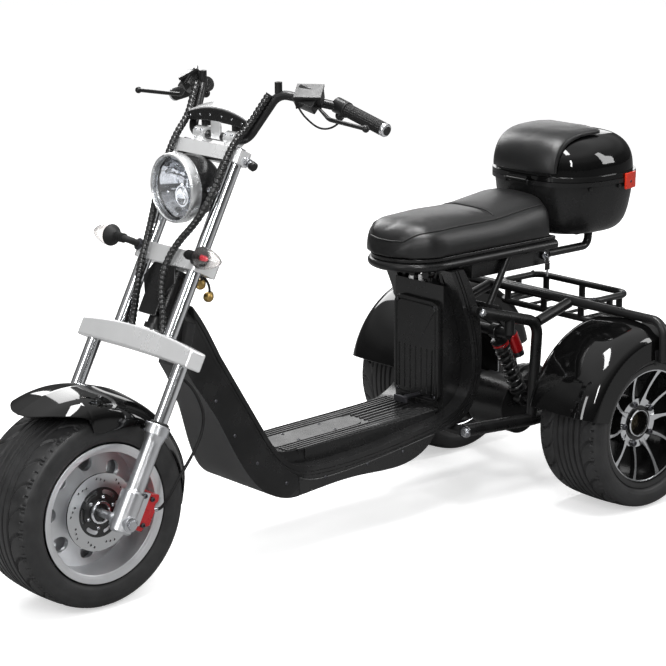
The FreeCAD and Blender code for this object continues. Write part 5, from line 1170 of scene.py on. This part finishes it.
tubes = []
for side in SIDES:
    for x, low, high in ((172, 235, 388), (97, 434, 871)):
        length = (high - low) / 1000
        tube = [(0, 0.0165), (0.0006, 0.017), (length - 0.0006, 0.017), (length, 0.0165)]
        tubes.append(lathe(head(side * x, 0, low), HEAD_UP, tube, 64))
build("fork_tube_pair", tubes, chrome, STEERING, "chrome_tube", "fork_tubes")


# Fasteners and small fittings, most of them seated on the solid that a ray from outside meets

node_trees = {}
fittings = {}


def cast(node, start, direction):
    """Where a ray meets a CAD node, with the surface's normal there; None if it misses."""
    if node not in node_trees:
        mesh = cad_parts[node].data
        node_trees[node] = BVHTree.FromPolygons([v.co for v in mesh.vertices], [p.vertices[:] for p in mesh.polygons])
    hit, normal, index, distance = node_trees[node].ray_cast(start, direction.normalized())
    if hit is None:
        return None
    return hit, -normal if normal.dot(direction) > 0 else normal


def add(body, material, slot, *parts):
    """Keeps small parts by body, finish and slot; each group becomes one piece at the end."""
    fittings.setdefault((body, material.name, slot), (material, []))[1].extend(parts)


def turned(body, material, slot, centre, axis, profile, count, loop=False):
    add(body, material, slot, lathe(centre, axis, profile, count, loop))


def screw_on(node, start, direction, radius, height, body, material=dark_steel, slot=METAL_SLOT, socket=True):
    found = cast(node, start, direction)
    if found:
        add(body, material, slot, screw_head(*found, radius, height, socket))


def hex_on(node, start, direction, radius, height, body, slot):
    found = cast(node, start, direction)
    if found:
        add(body, bolt_steel, slot, *hex_head(*found, radius, height))


def around(centre, radius, count, offset=0.0):
    """Points on an upright circle that faces sideways."""
    turns = [2 * math.pi * index / count + offset for index in range(count)]
    return [centre + Vector((0, math.cos(turn), math.sin(turn))) * radius for turn in turns]


# Fork: spindle nuts, the fender's screws, caps on the tubes, rubber collars and the clamps' screws
TUBE_CAP = ((-0.001, 0.0135), (0.0015, 0.0145), (0.0045, 0.0140), (0.0055, 0.012), (0.0055, 0.007), (0.003, 0.006))
TUBE_COLLAR = ((-0.0005, 0.0235), (0.0035, 0.0225), (0.006, 0.0195), (0.0065, 0.0174))
for side in SIDES:
    hex_on("fork_sliders", at(side * 260, 0, 232), -X_AXIS * side, 0.0125, 0.009, STEERING, "silver_cast")
    for level in (213, 231):
        screw_on("front_fender", head(side * 133, -40, level), HEAD_BACK, 0.0042, 0.003, STEERING)
    turned(STEERING, bolt_steel, "silver_paint", head(side * 97, 0, 899), HEAD_UP, TUBE_CAP, 24)
    turned(STEERING, grip_rubber, "grip_rubber", head(side * 172, 0, 235), HEAD_UP, TUBE_COLLAR, 32)
    for x in (47, 69):
        screw_on("top_clamp", bar_point(side * x, -60, 12), Y_AXIS, 0.0036, 0.003, STEERING, bolt_steel, "silver_paint")

# Steering lock: a steel barrel with a black cap at the left end of the top clamp
LOCK_AXIS = Vector((0.92, 0.05, -0.38))
LOCK_BARREL = ((-0.004, 0.0085), (0.014, 0.0085), (0.0145, 0.0105), (0.0225, 0.0105), (0.023, 0.0075), (0.031, 0.0075))
LOCK_CAP = ((0.0305, 0.0095), (0.031, 0.0112), (0.041, 0.0108), (0.0435, 0.008), (0.0438, 0.002))
turned(STEERING, bolt_steel, "silver_paint", head(116, 4, 882), LOCK_AXIS, LOCK_BARREL, 32)
turned(STEERING, black_coat, METAL_SLOT, head(116, 4, 882), LOCK_AXIS, LOCK_CAP, 32)

# Headlamp: side bolts on the strap
for side in SIDES:
    place = head(0, -70.6, 763.7) + Vector((side * 0.0863, 0.045, 0))
    add(STEERING, bolt_steel, "silver_paint", *hex_head(place, X_AXIS * side, 0.0075, 0.006))

# Shield that hangs from the middle clamp in front of the head tube
outline = [(34, 470), (34, 515), (62, 556), (40, 595)]
outline += [(-x, level) for x, level in outline[::-1]]
shield = slab("neck_cover", [head(x, -15, level) for x, level in outline], HEAD_BACK * 0.006, 0.0028)
own(shield, satin_plastic, STEERING, SATIN_SLOT)

# Nuts of the turn signals, screws of the reservoirs' lids and of the dash, and the calliper's bolts
for side in SIDES:
    add(STEERING, dark_steel, METAL_SLOT, *hex_head(head(side * 110, -23.5, 624), -HEAD_BACK, 0.0115, 0.004))
for top, axes in lid_frames:
    for dx in (-0.024, 0.024):
        add(STEERING, dark_steel, METAL_SLOT, screw_head(top + axes[0] * dx, axes[2], 0.0032, 0.0016))
for x in (-0.098, -0.06, -0.022, 0.022, 0.06, 0.098):
    level = dash_low + 0.009 + 0.0135 * (1 - (x / DASH_HALF) ** 2)
    add(STEERING, bolt_steel, METAL_SLOT, screw_head(Vector((x, dash_front, level)), -Y_AXIS, 0.0028, 0.0014))
for level in (4, 68):
    screw_on("brake_caliper", head(200, 94, level), -X_AXIS, 0.0062, 0.005, STEERING)
    screw_on("fork_sliders", head(200, 62, level + 2), -X_AXIS, 0.006, 0.005, STEERING)
screw_on("brake_caliper", head(200, 94, 36), -X_AXIS, 0.0115, 0.0022, STEERING, red_anodised, "caliper_red", False)

# Front wheel: screws on the disc's carrier and a chrome ring on each side of the hub
LEFT_RING = ((-0.001, 0.0262), (0.0018, 0.0275), (0.0035, 0.0262), (0.0038, 0.0225), (0.001, 0.021))
RIGHT_RING = ((-0.001, 0.022), (0.002, 0.0235), (0.004, 0.022), (0.0042, 0.017), (0.001, 0.016))
for start in around(at(150, 0, 232), 0.0365, 6, 0.3):
    screw_on("brake_disc", start, -X_AXIS, 0.0050, 0.0042, FRONT_WHEEL, bolt_steel, "disc_steel")
turned(FRONT_WHEEL, chrome, "rim_polished", at(84, 0, 232), X_AXIS, LEFT_RING, 48, True)
turned(FRONT_WHEEL, chrome, "rim_polished", at(-68, 0, 232), -X_AXIS, RIGHT_RING, 48, True)

# Rear wheels: lug bolts, a chrome and a bronze hub ring, and a bronze castle nut in the bore
CHROME_RING = ((-0.001, 0.0362), (0.0012, 0.0365), (0.0028, 0.035), (0.003, 0.0335), (0.001, 0.033), (-0.006, 0.0328))
BRONZE_RING = ((0, 0.0325), (0.0012, 0.0325), (0.0014, 0.024), (0.0006, 0.021), (0.0024, 0.018))
for name, sign in WHEELS:
    body = "rear_wheel_" + name
    rim = "rear_rim_" + name
    out = X_AXIS * sign
    outside = at(sign * 520, 1490, 222)
    for start in around(outside, 0.055, 5, math.pi / 5):
        screw_on(rim, start, -out, 0.0086, 0.006, body, dark_steel, "rim_polished")
    for radius, material, slot, profile in ((0.0335, chrome, "rim_polished", CHROME_RING),
                                            (0.022, hub_bronze, "rim_black", BRONZE_RING)):
        hit, normal = cast(rim, outside + Z_AXIS * radius, -out)
        centre = Vector((sign * (abs(hit.x) - 0.0003), outside.y, outside.z))
        turned(body, material, slot, centre, out, profile, 56, material == chrome)
    for first in around(Vector(), 1, 6):
        lug = rounded_block(centre + out * 0.009 + first * 0.0105, (out, first, X_AXIS.cross(first)),
                            (0.004, 0.0022, 0.0036), 0.0006, 2)
        add(body, hub_bronze, "rim_black", lug)
    add(body, hub_bronze, "rim_black", *hex_head(centre + out * 0.001, out, 0.0145, 0.008))

# Screws along the body, on the battery's door and on the floor board
for side in SIDES:
    for station, z in ((318, 520), (352, 428), (392, 338), (445, 262), (520, 200), (640, 192), (780, 196), (900, 204)):
        screw_on("front_cover" if station < 550 else "belly_skirt", at(side * 300, station, z), -X_AXIS * side,
                 0.0042, 0.0022, CHASSIS)
for x in (-70, 70):
    for z in (300, 542):
        screw_on("battery_door", at(x, 900, z), Y_AXIS, 0.004, 0.002, CHASSIS)
for station in (640, 760):
    for x in (-31, 31):
        screw_on("floor_board", at(x, station, 800), -Z_AXIS, 0.0045, 0.0012, CHASSIS)

# Case: knobs under the flange, and screws on the lid's latch
KNOB = ((-0.002, 0.005), (0.003, 0.0062), (0.006, 0.0055), (0.007, 0.003))
for side in SIDES:
    for station in (1540, 1640):
        place, normal = cast("case_shell", at(side * 300, station, 805), -X_AXIS * side)
        turned(CHASSIS, smooth_plastic, SATIN_SLOT, place, normal, KNOB, 20)
    screw_on("lid_latch", at(side * 300, 1680, 812), -X_AXIS * side, 0.0035, 0.0016, LID)

# Carrier: bracket screws on the basket's top loop, and the hoop's foot plates with their screws
for side in SIDES:
    for station in (1560, 1680):
        screw_on("rear_carrier", at(side * 172, station, 560), -Z_AXIS, 0.005, 0.003, CHASSIS)
    foot = at(side * 475.3, 1497, 399)
    plate = rounded_block(foot + Vector((-side * 0.0128, 0, 0.012)), AXES, (0.0015, 0.017, 0.02), 0.001, 2)
    add(CHASSIS, black_coat, METAL_SLOT, plate)
    for rise in (0.002, 0.022):
        place = foot + Vector((-side * 0.0143, 0, rise))
        add(CHASSIS, bolt_steel, METAL_SLOT, screw_head(place, -X_AXIS * side, 0.0042, 0.003))

# Pivot bolts of the rear frame, and shock bolts
for side in SIDES:
    hex_on("rear_subframe", at(side * 300, 1094, 223), -X_AXIS * side, 0.012, 0.009, CHASSIS, METAL_SLOT)
    hex_on("rear_subframe", at(side * 300, 1150, 531), -X_AXIS * side, 0.008, 0.006, CHASSIS, METAL_SLOT)
    for station, z in ((1362, 252), (1262, 453)):
        add(CHASSIS, bolt_steel, METAL_SLOT, *hex_head(at(side * 87.6, station, z), -X_AXIS * side, 0.0085, 0.005))

# Two brass domes on bent stems at the left of the head tube
DOME_AXIS = Vector((0.55, -0.75, -0.25))
DOME = ((-0.012, 0.004), (-0.011, 0.0112), (-0.003, 0.0128), (0.004, 0.0112), (0.009, 0.007), (0.0105, 0.001))
DOME_SEAT = ((-0.018, 0.006), (-0.0175, 0.009), (-0.0115, 0.0095), (-0.011, 0.006))
for back, level, start in ((58, 577, (66, 40, 600)), (94, 557.5, (62, 46, 600))):
    tip = head(62, back, level)
    stem = smooth_line([head(*start), head(start[0], back, 592), tip])
    add(STEERING, black_coat, METAL_SLOT, swept(stem, 0.0032, 10))
    turned(STEERING, brass, "silver_paint", tip, DOME_AXIS, DOME, 32)
    turned(STEERING, black_coat, METAL_SLOT, tip, DOME_AXIS, DOME_SEAT, 24)

# Key and ring hanging from the seat's lock
KEYHOLE = ((-0.001, 0.0095), (0.001, 0.0095), (0.0016, 0.0085), (0.0016, 0.002))
lock, normal = cast("under_seat_box", at(300, 1441, 630), -X_AXIS)
turned(CHASSIS, bolt_steel, METAL_SLOT, lock, X_AXIS, KEYHOLE, 28)
add(CHASSIS, bolt_steel, METAL_SLOT, swept(around(lock + Vector((0.010, 0, -0.010)), 0.010, 28), 0.0009, 8, True))
for material, shift, half, edge, segments in ((bolt_steel, (0.005, 0, 0), (0.0065, 0.0012, 0.0055), 0.0006, 2),
                                              (black_coat, (0.010, 0, -0.028), (0.0026, 0.0085, 0.0095), 0.0022, 3),
                                              (bolt_steel, (0.010, 0, -0.045), (0.0010, 0.0030, 0.0105), 0.0006, 2)):
    add(CHASSIS, material, METAL_SLOT, rounded_block(lock + Vector(shift), AXES, half, edge, segments))

# Small switch cable hanging under the left bar
SWITCH_CABLE = ((149, 1141), (172, 1114), (201, 1097), (228, 1086), (255, 1084), (281, 1090), (304, 1102), (322, 1118))
drop = resampled(smooth_line([at(x, 540, z) for x, z in SWITCH_CABLE]), 0.004)
add(STEERING, grip_rubber, "cable_black", swept(drop, 0.0024, 10))

for (body, name, slot), (material, parts) in sorted(fittings.items(), key=lambda item: item[0]):
    build("fittings_" + body + "_" + name, parts, material, body, slot)


# Floor: paper that looks white to the camera and reflects little light

FLOOR_HALF = 40
FLOOR_Z = -0.0005
corners = [(x * FLOOR_HALF, y * FLOOR_HALF, FLOOR_Z) for x, y in ((-1, -1), (1, -1), (1, 1), (-1, 1))]
mesh = bpy.data.meshes.new("floor")
mesh.from_pydata(corners, [], [[0, 1, 2, 3]])
floor = link("floor", mesh)
paper = bpy.data.materials.new("paper")
paper.use_nodes = True
tree = paper.node_tree
rays = add_node(tree, "LightPath", {}).outputs
either = {0: rays["Is Camera Ray"], 1: rays["Is Transmission Ray"]}
seen = add_node(tree, "Math", either, operation="MAXIMUM").outputs[0]
tone = add_node(tree, "Mix", {"Factor": seen, "A": (0.28, 0.28, 0.28, 1), "B": (0.86, 0.86, 0.86, 1)}, data_type="RGBA")
glow = add_node(tree, "Math", {0: seen, 1: 0.5}, operation="MULTIPLY").outputs[0]
feed(tree, tree.nodes["Principled BSDF"], {"Roughness": 0.9, "Specular IOR Level": 0.1,
                                           "Base Color": tone.outputs["Result"],
                                           "Emission Color": (1, 1, 1, 1), "Emission Strength": glow})
floor.data.materials.append(paper)


# World: a studio that is bright above and dark below, behind a white backdrop

world = bpy.data.worlds.new("studio")
bpy.context.scene.world = world
world.use_nodes = True
tree = world.node_tree
view = add_node(tree, "TexCoord", {}).outputs["Generated"]
height = add_node(tree, "SeparateXYZ", {"Vector": view}).outputs["Z"]
sky = add_node(tree, "ValToRGB", {"Fac": height})
sky.color_ramp.interpolation = "EASE"
for index, (position, value) in enumerate(((0.0, 0.07), (0.22, 0.11), (0.5, 0.34), (0.85, 0.85))):
    stop = sky.color_ramp.elements[index] if index < 2 else sky.color_ramp.elements.new(position)
    stop.position = position
    stop.color = (value, value, value, 1)
rays = add_node(tree, "LightPath", {}).outputs
backdrop = add_node(tree, "Mix", {"Factor": rays["Is Camera Ray"], "A": sky.outputs["Color"], "B": (1, 1, 1, 1)},
                    data_type="RGBA")
feed(tree, tree.nodes["Background"], {"Color": backdrop.outputs["Result"], "Strength": 1.0})


# Lamps and camera

for name, place, aim, size, power in (("top_box", (0.2, -0.1, 3.4), (0, 0, 0.4), (0.5, 2.4), 105),
                                      ("key_box", (3.6, -2.2, 2.7), (0, 0, 0.5), (0.32, 1.6), 66),
                                      ("side_box", (0.6, -4.4, 2.2), (0, -0.3, 0.5), (0.8, 2.2), 60),
                                      ("rim_box", (3.0, 3.4, 2.4), (0, 0.4, 0.5), (0.7, 2.4), 50),
                                      ("far_box", (-3.4, 1.2, 2.8), (0, 0, 0.5), (1.0, 2.6), 55),
                                      ("back_box", (-3.6, 3.4, 1.9), (0, 0.2, 0.5), (3.0, 1.2), 24)):
    data = bpy.data.lights.new(name, "AREA")
    data.shape = "RECTANGLE"
    data.size, data.size_y = size
    data.energy = power
    light = link(name, data)
    light.location = place
    light.rotation_euler = (Vector(aim) - Vector(place)).to_track_quat("-Z", "Y").to_euler()

SENSOR = 36
PHOTO_WIDTH = 666
FOCAL_PIXELS = 2254.35
ROLL = math.radians(-0.386)
data = bpy.data.cameras.new("photo_camera")
data.sensor_width = SENSOR
data.lens = SENSOR * FOCAL_PIXELS / PHOTO_WIDTH
camera = link("photo_camera", data)
camera.location = at(4175.787, -2820.150, 1900.771)
camera.rotation_mode = "QUATERNION"
aim = at(0, 782.738, 510.057) - camera.location
camera.rotation_quaternion = aim.to_track_quat("-Z", "Y") @ Matrix.Rotation(ROLL, 3, "Z").to_quaternion()
bpy.context.scene.camera = camera
bpy.context.scene.view_settings.view_transform = "Standard"
